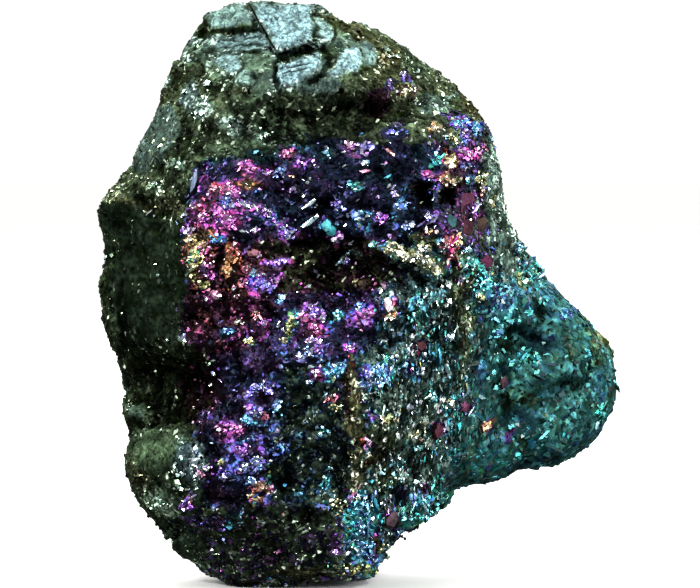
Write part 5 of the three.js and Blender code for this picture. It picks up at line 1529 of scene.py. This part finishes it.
# Clusters of bright crystals: centre, half sizes, turn, film, how pale, how many.
CLUSTERS = (
    (225, 218, 9, 7, 20, 0.38, 0.30, 16), (229, 226, 6, 5, 0, 0.39, 0.25, 8), (205, 216, 7, 6, 0, 0.34, 0.40, 10), (201, 208, 4, 3, 0, 0.30, 0.2, 4),
    (224, 203, 4, 5, 0, 0.61, 0.35, 5), (229, 197, 2, 2, 0, 0.60, 0.8, 2), (217, 239, 6, 5, 0, 0.67, 0.25, 9), (216, 188, 6, 4, 10, 0.30, 0.60, 7),
    (232, 189, 6, 4, 30, 0.35, 0.45, 8), (246, 168, 8, 4, 25, 0.37, 0.45, 7), (184, 217, 4, 3, 20, 0.30, 0.85, 4), (190, 229, 8, 2.5, 8, 0.42, 0.65, 8),
    (193, 239, 5, 4, 0, 0.01, 0.4, 6), (201, 246, 7, 5, 0, 0.02, 0.25, 8), (195, 257, 7, 8, 0, 0.99, 0.2, 7), (194, 272, 6, 8, 0, 0.985, 0.15, 6), (206, 250, 6, 9, 0, 0.30, 0.4, 6),
    (204, 284, 5, 3, 0, 0.99, 0.15, 6), (228, 254, 3, 12, 0, 0.12, 0.05, 5), (229, 274, 3, 7, 0, 0.09, 0.15, 5), (238, 258, 3, 13, -8, 0.17, 0.05, 5),
    (208, 262, 5, 7, 0, 0.34, 0.5, 6), (210, 275, 6, 3, 0, 0.39, 0.4, 5), (246, 268, 3, 8, 0, 0.25, 0.6, 5),
    (235, 246, 4, 4, 30, 0.20, 0.6, 4), (257, 254, 4, 3, 30, 0.38, 0.5, 4), (276, 262, 12, 3, -8, 0.49, 0.35, 12), (254, 273, 3, 3, 0, 0.70, 0.6, 3),
    (259, 284, 7, 5, 20, 0.54, 0.25, 12), (268, 289, 5, 4, 0, 0.55, 0.2, 7), (262, 274, 3, 2, 30, 0.10, 0.8, 2), (273, 281, 6, 5, 0, 0.42, 0.4, 6),
    (243, 283, 3, 3, 0, 0.30, 0.5, 3), (234, 286, 2, 3, 0, 0.3, 0.75, 2), (238, 297, 2.5, 2.5, 0, 0.25, 0.6, 2), (205, 298, 3, 2, 0, 0.42, 0.8, 2),
    (215, 294, 4, 3, 0, 0.30, 0.6, 4), (256, 312, 3, 9, -25, 0.22, 0.4, 7), (266, 322, 5, 3, -40, 0.42, 0.4, 4), (280, 300, 1.5, 5, 30, 0.70, 0.3, 4),
    (228, 331, 6, 3, 0, 0.68, 0.2, 6), (239, 322, 4, 1.5, 0, 0.02, 0.7, 4), (250, 341, 4, 3, 20, 0.985, 0.05, 6), (283, 340, 3, 3, 0, 0.99, 0.5, 3),
    (289, 325, 1.5, 8, 15, 0.97, 0.2, 6), (279, 326, 1.5, 3, 30, 0.5, 0.8, 2),
    (287, 153, 6, 4, -30, 0.31, 0.30, 7), (280, 171, 7, 3, -35, 0.61, 0.4, 9), (266, 173, 6, 3, 0, 0.44, 0.4, 5), (305, 161, 8, 4, -10, 0.46, 0.3, 6),
    (309, 180, 3, 2.5, 0, 0.02, 0.92, 3), (300, 180, 1.5, 1.5, 0, 0.5, 0.9, 1), (290, 179, 3, 1.5, -40, 0.1, 0.9, 2), (291, 189, 6, 2, 30, 0.46, 0.7, 5),
    (302, 194, 3, 1.5, 20, 0.46, 0.8, 2), (247, 205, 6, 2, 30, 0.52, 0.7, 4), (255, 207, 2, 3, 0, 0.5, 0.85, 2), (266, 211, 6, 4, 40, 0.46, 0.6, 6),
    (273, 219, 3, 2, 40, 0.5, 0.8, 2), (245, 231, 3, 2, 0, 0.5, 0.85, 2), (256, 229, 5, 1.5, -15, 0.5, 0.7, 3), (278, 225, 2, 3, 0, 0.1, 0.8, 2),
    (287, 229, 9, 3, 5, 0.55, 0.6, 10), (288, 236, 4, 2, 30, 0.56, 0.65, 4), (336, 203, 5, 4, 0, 0.53, 0.35, 6), (338, 208, 8, 1.5, -10, 0.6, 0.8, 5),
    (319, 206, 3, 1.5, 0, 0.5, 0.8, 2), (358, 214, 5, 2, 5, 0.69, 0.6, 5), (366, 217, 4, 1.5, -15, 0.62, 0.8, 3), (342, 225, 2, 1.5, 0, 0.6, 0.8, 1),
    (359, 225, 3, 1.5, 0, 0.7, 0.8, 2), (382, 220, 6, 5, 0, 0.45, 0.2, 8), (378, 214, 5, 1.5, 30, 0.5, 0.8, 4), (402, 204, 4, 5, 0, 0.67, 0.3, 8),
    (393, 191, 7, 1.5, 52, 0.52, 0.7, 6), (406, 225, 8, 3, -10, 0.61, 0.6, 7), (354, 184, 4, 3, 0, 0.79, 0.3, 3), (356, 191, 2, 3, -30, 0.7, 0.8, 2),
    (367, 163, 2, 2.5, 0, 0.72, 0.7, 2), (385, 163, 1, 4, 0, 0.4, 0.9, 2), (350, 146, 5, 2, 30, 0.35, 0.6, 5), (364, 152, 5, 1.5, 40, 0.48, 0.6, 4),
    (365, 146, 7, 3, 0, 0.52, 0.5, 6), (326, 153, 3, 2, 0, 0.72, 0.6, 2), (337, 239, 4, 3, 0, 0.45, 0.7, 5), (351, 243, 3, 1.5, 20, 0.5, 0.9, 2),
    (376, 245, 5, 1.5, 0, 0.78, 0.5, 4), (388, 238, 2, 2, 0, 0.5, 0.95, 2), (344, 165, 1, 3, 0, 0.5, 0.9, 1), (378, 196, 1.5, 1.5, 0, 0.5, 0.9, 1),
    (396, 250, 12, 5, 25, 0.99, 0.60, 22), (402, 254, 9, 4, 35, 0.99, 0.70, 16), (417, 258, 9, 4, 10, 0.99, 0.70, 14), (430, 264, 8, 3, 5, 0.99, 0.70, 9),
    (442, 262, 5, 1.5, -10, 0.99, 0.8, 4), (424, 248, 6, 5, 0, 0.985, 0.5, 5), (418, 252, 3, 4, 30, 0.99, 0.7, 4),
    (346, 252, 8, 1.5, 0, 0.8, 0.9, 3), (340, 264, 2, 3, 0, 0.70, 0.7, 3), (347, 261, 3, 2, 30, 0.54, 0.5, 3), (318, 272, 1.5, 5, 10, 0.5, 0.95, 3),
    (305, 286, 2, 2, 0, 0.8, 0.9, 1), (374, 277, 3, 4, 40, 0.3, 0.9, 2), (356, 283, 2, 3, 30, 0.985, 0.5, 2), (380, 293, 1.5, 1.5, 0, 0.1, 0.9, 1),
    (461, 123, 9, 2.5, -5, 0.68, 0.30, 10), (476, 131, 3, 5, -20, 0.69, 0.25, 7), (464, 133, 5, 5, 40, 0.52, 0.6, 7), (464, 153, 5, 5, 20, 0.38, 0.35, 9),
    (472, 155, 3, 5, 30, 0.37, 0.3, 6), (480, 149, 4, 3, 0, 0.34, 0.5, 4), (465, 165, 5, 3, 0, 0.6, 0.5, 4), (450, 161, 5, 6, 0, 0.035, 0.45, 12),
    (437, 161, 4, 4, 0, 0.78, 0.10, 7), (428, 175, 6, 3, 25, 0.34, 0.3, 7), (447, 182, 9, 2.5, 25, 0.08, 0.6, 9), (467, 180, 3, 4, 0, 0.75, 0.3, 4),
    (480, 178, 5, 6, 0, 0.985, 0.5, 8), (482, 192, 2, 6, 0, 0.1, 0.6, 4), (491, 203, 2, 5, 0, 0.97, 0.5, 5), (478, 205, 6, 1.5, -10, 0.5, 0.9, 4),
    (430, 217, 6, 4, 30, 0.54, 0.6, 7), (431, 231, 7, 2, 0, 0.07, 0.5, 6), (447, 248, 4, 10, -20, 0.25, 0.6, 12), (458, 242, 1.5, 8, 0, 0.07, 0.4, 6),
    (436, 127, 4, 4, 0, 0.04, 0.6, 6), (452, 138, 4, 7, -30, 0.98, 0.4, 6), (429, 140, 2, 2, 0, 0.5, 0.9, 2), (466, 250, 6, 2, -10, 0.77, 0.6, 5),
    (469, 263, 5, 6, 40, 0.77, 0.5, 9), (479, 275, 5, 6, 40, 0.76, 0.3, 9), (485, 284, 5, 5, 0, 0.76, 0.3, 10), (463, 284, 3, 2, 0, 0.2, 0.9, 2),
    (480, 297, 4, 2, 0, 0.985, 0.3, 4), (492, 315, 2, 4, 0, 0.73, 0.5, 5), (396, 132, 9, 5, -10, 0.56, 0.5, 8), (404, 76, 4, 3, 30, 0.52, 0.7, 5),
    (390, 83, 2, 3, 30, 0.50, 0.6, 2), (408, 90, 6, 3, 10, 0.99, 0.60, 5), (416, 105, 2, 2, 30, 0.5, 0.95, 2),
    (304, 316, 6, 4, 20, 0.37, 0.5, 10), (313, 328, 5, 3, 45, 0.36, 0.35, 7), (313, 306, 5, 1.5, -15, 0.50, 0.65, 5), (323, 315, 2, 7, -15, 0.46, 0.75, 8),
    (314, 313, 4, 4, 0, 0.49, 0.3, 6), (313, 341, 8, 1.5, 15, 0.45, 0.6, 7), (340, 315, 5, 4, 0, 0.75, 0.3, 5), (361, 306, 5, 2, 10, 0.67, 0.4, 6),
    (367, 314, 6, 5, -30, 0.39, 0.35, 12), (362, 320, 3, 3, 0, 0.50, 0.3, 3), (391, 317, 3, 3, 0, 0.03, 0.7, 5), (396, 307, 1.5, 3, 0, 0.5, 0.9, 2),
    (309, 352, 6, 4, 20, 0.64, 0.6, 8), (303, 358, 5, 4, 0, 0.6, 0.6, 5), (319, 349, 4, 5, -30, 0.47, 0.35, 5), (317, 371, 7, 3, -35, 0.40, 0.75, 9),
    (330, 374, 6, 3, 0, 0.69, 0.55, 7), (339, 369, 7, 4, -20, 0.70, 0.25, 11), (309, 381, 3, 3, 30, 0.66, 0.7, 3), (282, 367, 3, 2, 30, 0.66, 0.8, 2),
    (377, 371, 8, 5, 0, 0.68, 0.45, 16), (383, 381, 6, 7, 30, 0.66, 0.5, 14), (368, 377, 4, 6, -20, 0.58, 0.6, 8), (377, 392, 4, 2, -20, 0.42, 0.8, 4),
    (350, 349, 5, 4, -40, 0.44, 0.4, 7), (331, 398, 7, 2, -10, 0.22, 0.35, 7), (336, 405, 4, 2.5, 30, 0.985, 0.2, 5), (326, 394, 2, 2, 0, 0.7, 0.8, 2),
    (387, 358, 4, 2.5, 0, 0.79, 0.45, 5), (420, 303, 4, 4, 30, 0.78, 0.35, 8), (411, 317, 4, 4, 0, 0.79, 0.3, 5), (447, 337, 4, 2, 20, 0.68, 0.7, 4),
    (383, 268, 2, 2, 0, 0.5, 0.9, 1), (440, 289, 3, 1.5, -30, 0.5, 0.95, 2), (448, 301, 2, 2, 0, 0.5, 0.9, 2), (415, 327, 2, 2, 0, 0.55, 0.9, 2),
    (258, 387, 5, 3, 0, 0.58, 0.45, 8), (248, 394, 4, 3, 0, 0.54, 0.4, 5), (268, 390, 4, 3, 40, 0.55, 0.4, 5), (276, 405, 2.5, 6, 25, 0.68, 0.45, 8),
    (262, 381, 2, 1.5, 0, 0.6, 0.9, 1), (248, 408, 4, 3, -30, 0.42, 0.7, 4), (257, 412, 5, 3, 0, 0.56, 0.5, 5), (263, 416, 4, 3, 0, 0.30, 0.3, 5),
    (247, 421, 5, 4, 0, 0.67, 0.3, 8), (240, 431, 2.5, 5, 10, 0.35, 0.35, 7), (229, 429, 8, 5, 0, 0.37, 0.3, 8), (218, 428, 3, 2, 0, 0.3, 0.8, 2),
    (276, 430, 2, 5, -25, 0.48, 0.85, 5), (243, 450, 7, 5, 0, 0.45, 0.3, 9), (256, 461, 6, 3, 0, 0.62, 0.6, 9), (246, 468, 5, 4, 0, 0.58, 0.6, 7),
    (258, 468, 4, 4, 0, 0.63, 0.4, 6), (229, 470, 7, 3, 10, 0.54, 0.35, 8), (223, 476, 3, 2, 30, 0.5, 0.9, 3), (251, 480, 3, 3, 0, 0.64, 0.4, 4),
    (222, 463, 3, 2, 0, 0.985, 0.4, 3), (281, 448, 7, 4, 0, 0.65, 0.4, 6), (262, 485, 7, 3, 15, 0.09, 0.65, 9), (256, 489, 4, 2, 0, 0.15, 0.6, 4),
    (252, 497, 5, 2, 10, 0.01, 0.35, 5), (274, 493, 2, 2, 0, 0.1, 0.8, 2), (203, 476, 4, 3, 0, 0.30, 0.5, 5), (186, 503, 4, 5, 30, 0.48, 0.4, 8),
    (191, 499, 1, 4, 5, 0.24, 0.4, 3), (208, 467, 3, 1.5, -40, 0.48, 0.7, 3), (219, 509, 2, 2, 0, 0.5, 0.95, 2), (213, 373, 3, 2, 40, 0.5, 0.95, 3),
    (211, 387, 2, 1.5, 0, 0.1, 0.95, 1), (329, 471, 2, 2, 0, 0.77, 0.5, 2), (327, 483, 2, 6, 0, 0.76, 0.3, 7), (298, 496, 4, 2, -30, 0.75, 0.5, 4),
    (325, 433, 4, 2, 20, 0.76, 0.6, 4), (303, 473, 2, 2, 0, 0.1, 0.95, 1), (330, 458, 2, 2, 0, 0.65, 0.8, 2), (339, 507, 6, 5, 0, 0.99, 0.4, 8),
    (281, 514, 2, 3, -30, 0.1, 0.95, 2), (284, 527, 2, 2, 0, 0.1, 0.95, 2), (279, 553, 2, 2, 0, 0.3, 0.8, 2), (197, 524, 3, 2, 0, 0.5, 0.9, 2),
    (333, 553, 3, 4, 0, 0.46, 0.5, 4), (221, 541, 2, 2, 0, 0.6, 0.8, 1), (210, 548, 4, 3, 0, 0.2, 0.85, 3),
    (367, 443, 4, 4, 0, 0.36, 0.5, 8), (370, 414, 3, 3, 0, 0.36, 0.8, 4), (381, 419, 3, 3, 0, 0.02, 0.6, 4), (389, 418, 4, 2, 10, 0.99, 0.3, 4),
    (395, 424, 2, 2, 0, 0.02, 0.8, 2), (406, 430, 2, 2, 0, 0.5, 0.95, 1), (414, 436, 2, 5, 30, 0.99, 0.6, 5), (416, 449, 4, 1.5, 0, 0.79, 0.6, 4),
    (418, 440, 2, 1.5, 0, 0.15, 0.8, 2), (385, 502, 3, 4, 30, 0.50, 0.7, 5), (365, 555, 6, 3, 0, 0.66, 0.5, 9), (358, 535, 3, 3, 0, 0.70, 0.4, 4),
    (362, 505, 10, 10, 0, 0.72, 0.55, 16), (362, 524, 10, 10, 0, 0.69, 0.4, 16), (363, 541, 9, 8, 0, 0.69, 0.5, 14), (366, 565, 2, 3, 0, 0.5, 0.97, 2),
    (384, 525, 2, 8, -8, 0.79, 0.6, 6), (382, 548, 3, 10, -10, 0.97, 0.6, 5), (350, 568, 6, 1.5, 0, 0.98, 0.2, 4),
    (415, 518, 7, 5, 0, 0.79, 0.15, 16), (402, 518, 8, 5, 0, 0.77, 0.4, 9), (428, 512, 11, 8, -20, 0.79, 0.3, 14), (421, 503, 6, 3, 25, 0.74, 0.35, 9), (443, 495, 7, 6, 0, 0.80, 0.25, 14), (443, 497, 2, 2, 0, 0.78, 0.7, 2),
    (400, 533, 4, 2, -20, 0.68, 0.3, 4), (418, 482, 3, 1.5, 0, 0.79, 0.7, 3), (434, 396, 3, 4, 0, 0.79, 0.3, 7), (448, 405, 4, 5, -20, 0.97, 0.6, 5),
    (424, 422, 4, 6, 20, 0.95, 0.6, 6), (412, 405, 9, 12, 0, 0.6, 0.90, 10), (412, 360, 20, 16, 0, 0.72, 0.75, 12), (395, 470, 16, 14, 0, 0.74, 0.70, 12),
    (204, 107, 7, 8, 20, 0.5, 1.0, 14), (197, 116, 5, 3, 30, 0.5, 1.0, 5), (232, 128, 9, 5, 30, 0.5, 1.0, 6), (266, 136, 8, 6, 20, 0.5, 1.0, 10),
    (198, 42, 4, 6, 20, 0.3, 0.97, 7), (187, 58, 3, 3, 0, 0.3, 0.97, 4), (169, 83, 2, 3, 0, 0.5, 1.0, 2), (211, 83, 3, 3, 0, 0.5, 1.0, 3),
    (173, 163, 4, 3, 0, 0.5, 1.0, 4), (156, 184, 4, 1.5, 0, 0.5, 1.0, 3), (181, 167, 3, 3, 0, 0.5, 1.0, 3),
    (151, 213, 2, 4, -30, 0.97, 0.85, 3), (107, 259, 4, 2, -30, 0.6, 1.0, 3), (158, 276, 1.5, 1.5, 0, 0.5, 1.0, 1), (184, 439, 6, 4, 30, 0.6, 0.97, 8),
    (196, 462, 5, 14, 0, 0.62, 0.93, 10), (178, 466, 6, 12, 0, 0.6, 0.97, 8), (158, 503, 8, 5, 25, 0.5, 0.98, 10), (195, 485, 3, 5, 0, 0.6, 0.97, 5),
    (177, 487, 8, 6, 0, 0.6, 0.97, 7), (126, 406, 2, 1.5, 0, 0.6, 1.0, 1), (205, 362, 20, 5, 0, 0.5, 0.97, 3), (175, 339, 20, 2, 0, 0.5, 1.0, 3),
    (447, 97, 7, 1.5, -14, 0.5, 1.0, 5), (446, 108, 6, 6, 30, 0.5, 1.0, 8), (388, 50, 5, 2, -10, 0.5, 1.0, 4), (396, 57, 6, 4, 0, 0.5, 1.0, 5),
    (418, 72, 8, 4, 30, 0.5, 1.0, 5), (384, 56, 7, 1.5, -10, 0.99, 0.8, 4),
    (519, 247, 3, 3, 0, 0.73, 0.4, 5), (537, 264, 2, 3, -30, 0.79, 0.3, 3), (539, 276, 2, 3, -30, 0.75, 0.5, 3), (563, 315, 3, 3, 0, 0.73, 0.35, 4),
    (535, 360, 3, 3, 0, 0.79, 0.1, 3), (512, 364, 4, 2.5, 30, 0.77, 0.15, 3), (586, 355, 3, 2, 0, 0.77, 0.1, 2),
    (476, 469, 3, 2, 0, 0.79, 0.2, 3), (531, 442, 3, 3, 0, 0.72, 0.1, 3), (486, 426, 4, 3, 20, 0.05, 0.5, 3),
    (523, 281, 6, 3, 0, 0.90, 0.4, 4), (497, 333, 2, 4, -20, 0.72, 0.3, 3), (514, 291, 4, 1.5, 0, 0.72, 0.3, 2), (470, 338, 2, 3, -30, 0.75, 0.5, 2),
    (507, 318, 3, 3, 0, 0.77, 0.1, 3), (528, 314, 2, 2, 0, 0.78, 0.1, 2), (545, 303, 2, 2, 0, 0.79, 0.1, 2), (522, 358, 2, 2, 0, 0.79, 0.1, 2),
    (600, 411, 3, 3, 0, 0.81, 0.1, 2), (566, 436, 2, 2, 0, 0.80, 0.1, 2), (482, 448, 4, 4, 0, 0.79, 0.1, 4), (498, 462, 4, 3, 0, 0.80, 0.1, 3),
)
# Of the places that show at a point of the view, the nearest to the camera.
ub, vb = seen_at(V)
open_v = np.flatnonzero(soft_n @ BACK > 0.10)


def seen_place(cu, cv):
    near = open_v[np.argsort(np.hypot(ub[open_v] - cu, vb[open_v] - cv))[:14]]
    near = near[np.argsort(V[near, 1])[:7]]
    return V[near].mean(0), unit(soft_n[near].mean(0))


extra = []
for cu, cv, ru, rv, turn, f0, pale0, many in CLUSTERS:
    a = math.radians(turn)
    if pale0 < 0.8:
        many = math.ceil(many * 2.4)
    near = open_v[np.hypot(ub[open_v] - cu, vb[open_v] - cv) < max(ru, rv) + 6]
    if len(near) < 4:
        continue
    r, phi = np.sqrt(rng.random(many)), rng.uniform(0, math.tau, many)
    x, y = r * np.cos(phi) * ru, r * np.sin(phi) * rv
    for x, y in zip(cu + x * math.cos(a) - y * math.sin(a), cv + x * math.sin(a) + y * math.cos(a)):
        k = near[np.argsort(np.hypot(ub[near] - x, vb[near] - y))[:4]]
        k = rng.choice(k[V[k, 1] < V[k, 1].min() + 0.35])
        extra.append((*V[k], *soft_n[k], f0, pale0, soft[k]))
extra = np.array(extra)
rows = len(extra)
n_g = unit(extra[:, 3:6])
sharp = rng.random(rows) < (0.22 + 0.60 * extra[:, 7] ** 2) * (extra[:, 8] < 0.4)
aimed, near_n = catching(n_g, rows, np.where(sharp, 0.03, 0.055))
n_top = np.where((near_n > 0.42 + 0.38 * extra[:, 8])[:, None], aimed, unit(n_g + rng.normal(0, 0.2, (rows, 3))))
bare = extra[:, 7] > 0.96
for k, x in enumerate(
    (
        extra[:, :3] + n_g * rng.uniform(0.0, 0.08, (rows, 1)), n_top,
        np.clip(rng.lognormal(math.log(0.106), 0.32, rows), 0.05, 0.22) * (1 + 0.35 * extra[:, 8]),
        np.where(rng.random(rows) < 0.15, rng.uniform(1.6, 2.4, rows), rng.uniform(0.9, 1.4, rows)),
        extra[:, 6] + rng.normal(0, 0.03, rows), np.where(bare, 0.0, 1.0), rng.uniform(0.80, 1.0, rows), rng.uniform(0.1, 0.5, rows),
        np.where(sharp, rng.uniform(0.15, 0.24, rows), rng.uniform(0.22, 0.34, rows)) + 0.10 * extra[:, 8],
        np.where(sharp, np.clip(extra[:, 7] + rng.normal(0.1, 0.12, rows), 0, 1), np.clip(0.05 + 0.38 * extra[:, 7] + rng.normal(0, 0.07, rows), 0, 1)),
        np.ones(rows),
    )
):
    bold[k] = np.concatenate([bold[k], x])
at, n_top, radius, long, g_film, g_tarnish, shine, g_hue, g_rough, g_pale, front_g = bold
rows = len(at)
g_film = 1 - np.abs(1 - np.abs(g_film))
values = {"film": g_film, "tarnish": g_tarnish, "shine": shine, "hue": g_hue, "rough": g_rough, "pale": g_pale}
scatter_pieces("crystals", at, n_top, radius, radius * rng.uniform(0.15, 0.70, rows), 5, long, lie(at, rows), values, 10000, True, front_g)
print("BODY", len(F), "FINE", fine_count, "BOLD", rows, "CLUSTERED", len(extra))

# Single large crystals: outline in the view, film, pale, shine, roughness, light it is turned to (-1: none), how raised its middle is (mm)
FLAKES = (
    ([(321, 224), (327, 219), (331, 223), (331, 229), (326, 232), (323, 229)], 0.775, 0.10, 0.92, 0.36, 2, 0.03),
    ([(332, 225), (336, 229), (335, 235), (329, 236), (326, 233), (331, 230)], 0.765, 0.04, 0.50, 0.42, 2, 0.05),
    ([(301, 209), (309, 202), (318, 195), (319, 198), (311, 205), (303, 209)], 0.76, 0.75, 1.0, 0.20, 1, 0.02),
    ([(301, 226), (309, 219), (318, 213), (320, 216), (311, 224), (303, 228)], 0.74, 0.60, 1.0, 0.20, 1, 0.03),
    ([(385, 149), (388, 148), (395, 154), (394, 156), (391, 155)], 0.22, 0.35, 1.0, 0.20, 1, 0.02),
    ([(344, 143), (349, 142), (356, 149), (352, 150)], 0.35, 0.50, 1.0, 0.20, 1, 0.03),
    ([(360, 151), (368, 155), (367, 157), (361, 154)], 0.48, 0.60, 0.9, 0.20, 1, 0.02),
    ([(359, 171), (366, 169), (373, 170), (372, 171), (363, 173)], 0.30, 0.30, 0.6, 0.25, 1, 0.01),
    ([(456, 198), (463, 193), (474, 193), (475, 201), (468, 206), (462, 214), (456, 208)], 0.31, 0.22, 0.13, 0.45, 4, 0.06),
    ([(459, 222), (468, 219), (474, 222), (472, 233), (464, 236), (460, 230)], 0.27, 0.25, 0.10, 0.45, 4, 0.06),
    ([(475, 221), (484, 217), (488, 222), (483, 230), (476, 231)], 0.12, 0.35, 0.10, 0.45, 4, 0.05),
    ([(445, 217), (450, 214), (457, 218), (456, 226), (450, 229), (445, 225)], 0.77, 0.25, 0.18, 0.45, 1, 0.05),
    ([(477, 256), (484, 253), (491, 258), (493, 264), (487, 269), (480, 266)], 0.31, 0.12, 0.18, 0.45, 4, 0.06),
    ([(384, 299), (389, 297), (394, 301), (393, 309), (388, 312), (385, 307)], 0.28, 0.80, 0.8, 0.34, 1, 0.03),
    ([(380, 283), (385, 281), (388, 288), (386, 292)], 0.34, 0.50, 1.0, 0.20, 1, 0.03),
    ([(247, 250), (254, 249), (259, 251), (256, 256), (248, 256)], 0.24, 0.30, 0.55, 0.40, 2, 0.03),
    ([(435, 428), (439, 424), (444, 427), (443, 434), (438, 439), (435, 434)], 0.28, 0.20, 0.16, 0.45, 4, 0.05),
    ([(461, 404), (465, 401), (470, 405), (467, 412), (462, 410)], 0.31, 0.20, 0.22, 0.45, 4, 0.04),
    ([(418, 342), (424, 340), (427, 346), (422, 351), (418, 348)], 0.24, 0.25, 0.14, 0.45, 4, 0.04),
    ([(386, 512), (391, 508), (396, 512), (398, 520), (394, 527), (387, 525)], 0.29, 0.50, 0.16, 0.48, 4, 0.06),
    ([(396, 516), (401, 515), (402, 523), (398, 527)], 0.30, 0.55, 0.13, 0.48, 4, 0.05),
    ([(500, 378), (506, 376), (508, 384), (503, 389)], 0.28, 0.35, 0.16, 0.48, 4, 0.05),
    ([(559, 434), (568, 438), (567, 444), (560, 441)], 0.81, 0.25, 0.25, 0.48, 4, 0.05),
    ([(190, 193), (191, 183), (194, 172), (197, 170), (197, 180), (194, 188)], 0.64, 0.55, 0.42, 0.45, 0, 0.03),
)
flake_v, flake_f, flake_a, flake_uv = [], [], [], []
start = 0
across = math.ceil(math.sqrt(len(FLAKES)))
for k, (outline, f0, pale0, shine0, rough0, aim, peak) in enumerate(FLAKES):
    o = np.array(outline, float)
    p0, n = seen_place(*o.mean(0))
    if aim >= 0 and HALVES[aim] @ n > 0.3:
        n = unit(HALVES[aim] + 0.05 * n)
    else:
        n = unit(n + 0.20 * BACK)
    p0 = p0 + n * 0.09
    # Corners on the plane through p0, where the outline shows in the frame.
    kx = (o[:, 0] - FRAME_W / 2) * SENSOR / (LENS * FRAME_W)
    ky = (FRAME_H / 2 - o[:, 1]) * SENSOR / (LENS * FRAME_W)
    ray = -BACK + kx[:, None] * np.array([1.0, 0, 0]) + ky[:, None] * UP
    top = EYE + ray * (((p0 - EYE) @ n) / (ray @ n))[:, None]
    low = p0 + (top - p0) * 1.15 - n * 0.40
    sides = len(o)
    if np.cross(top[1] - top[0], top[2] - top[1]) @ n < 0:
        top, low = top[::-1], low[::-1]
    tip = p0 + (top[k % sides] - p0) * 0.3 + n * peak
    g, _ = crystal_faces(sides)
    flake_v += [tip[None], top, low]
    flake_f.append(g + start)
    start += 2 * sides + 1
    flake_a.append(np.repeat([[f0, pale0, shine0, rough0]], 2 * sides + 1, 0))
    one = grain_uv(1, sides, True)
    flake_uv.append((one + (k % across, k // across)) / across)
flake_v, flake_a = np.concatenate(flake_v), np.concatenate(flake_a)
flakes = mesh_object(
    "crystals_single",
    flake_v,
    np.concatenate(flake_f),
    attributes={
        "film": flake_a[:, 0],
        "pale": flake_a[:, 1],
        "shine": flake_a[:, 2],
        "rough": flake_a[:, 3],
        "tarnish": np.ones(len(flake_v)),
        "hue": np.full(len(flake_v), 0.3),
    },
    uv=np.concatenate(flake_uv),
)
flakes.data.materials.append(grain_look)
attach(flakes, "root")

# ---------------------------------------------------------------- floor, light and camera
def plain(name, colour, rough=0.6):
    m = bpy.data.materials.new(name)
    m.use_nodes = True
    p = m.node_tree.nodes["Principled BSDF"]
    p.inputs["Base Color"].default_value = (*colour, 1)
    p.inputs["Roughness"].default_value = rough
    return m


me = bpy.data.meshes.new("floor")
ring = [
    (1.6 * math.cos(a * math.tau / 64), 1.6 * math.sin(a * math.tau / 64), 0.0)
    for a in range(64)
]
me.from_pydata(ring, [], [tuple(range(64))])
floor = bpy.data.objects.new("floor", me)
bpy.context.scene.collection.objects.link(floor)
me.materials.append(plain("floor", (0.94, 0.94, 0.92), 0.9))
floor.visible_glossy = False

world = bpy.data.worlds.new("studio")
bpy.context.scene.world = world
world.use_nodes = True
nt = world.node_tree
out = nt.nodes["World Output"]
seen = nt.nodes["Background"]
seen.inputs["Color"].default_value = (1.0, 1.0, 0.985, 1)
seen.inputs["Strength"].default_value = 1.12
dim = nt.nodes.new("ShaderNodeBackground")
sky = ramp(
    nt,
    [(0.0, (0.14, 0.15, 0.14)), (0.42, (0.17, 0.18, 0.17)), (0.6, (0.24, 0.26, 0.25)), (0.9, (0.42, 0.46, 0.46))],
)
split = nt.nodes.new("ShaderNodeSeparateXYZ")
nt.links.new(nt.nodes.new("ShaderNodeTexCoord").outputs["Generated"], split.inputs[0])
nt.links.new(maths(nt, "MULTIPLY_ADD", split.outputs[2], 0.5, 0.5), sky.inputs[0])
far_side = maths(nt, "MULTIPLY", between(nt, split.outputs[1], -0.1, 0.9), between(nt, split.outputs[2], -0.6, 0.1))
glow = mix_colour(nt, 1.0, (0.42, 0.46, 0.43), far_side, "MULTIPLY")
nt.links.new(mix_colour(nt, 1.0, sky.outputs[0], glow, "ADD"), dim.inputs["Color"])
dim.inputs["Strength"].default_value = 1.0
path = nt.nodes.new("ShaderNodeLightPath")
mixer = nt.nodes.new("ShaderNodeMixShader")
nt.links.new(path.outputs["Is Glossy Ray"], mixer.inputs[0])
nt.links.new(seen.outputs[0], mixer.inputs[1])
nt.links.new(dim.outputs[0], mixer.inputs[2])
nt.links.new(mixer.outputs[0], out.inputs["Surface"])


def area(name, at, size, bright, colour=(1, 1, 1)):
    """A soft box at a point, in metres, turned towards the stone; bright is its radiance."""
    data = bpy.data.lights.new(name, "AREA")
    data.shape = "RECTANGLE"
    data.size, data.size_y = size
    data.energy, data.color = bright * math.pi * size[0] * size[1], colour
    ob = bpy.data.objects.new(name, data)
    bpy.context.scene.collection.objects.link(ob)
    ob.location = at
    aim = Vector((0, 0, 0.014)) - Vector(at)
    ob.rotation_euler = aim.to_track_quat("-Z", "Y").to_euler()
    ob.visible_camera = False
    return ob


for box in BOXES:
    area(*box)

cam = bpy.data.cameras.new("camera")
camera = bpy.data.objects.new("camera", cam)
bpy.context.scene.collection.objects.link(camera)
cam.lens, cam.sensor_width = LENS, SENSOR
cam.clip_start, cam.clip_end = 0.01, 20.0
camera.location = Vector(EYE * MM)
camera.rotation_euler = (-Vector(BACK)).to_track_quat("-Z", "Y").to_euler()
bpy.context.scene.camera = camera

scene = bpy.context.scene
scene.view_settings.view_transform = "Standard"
scene.view_settings.look = "None"
scene.cycles.sample_clamp_indirect = 10.0
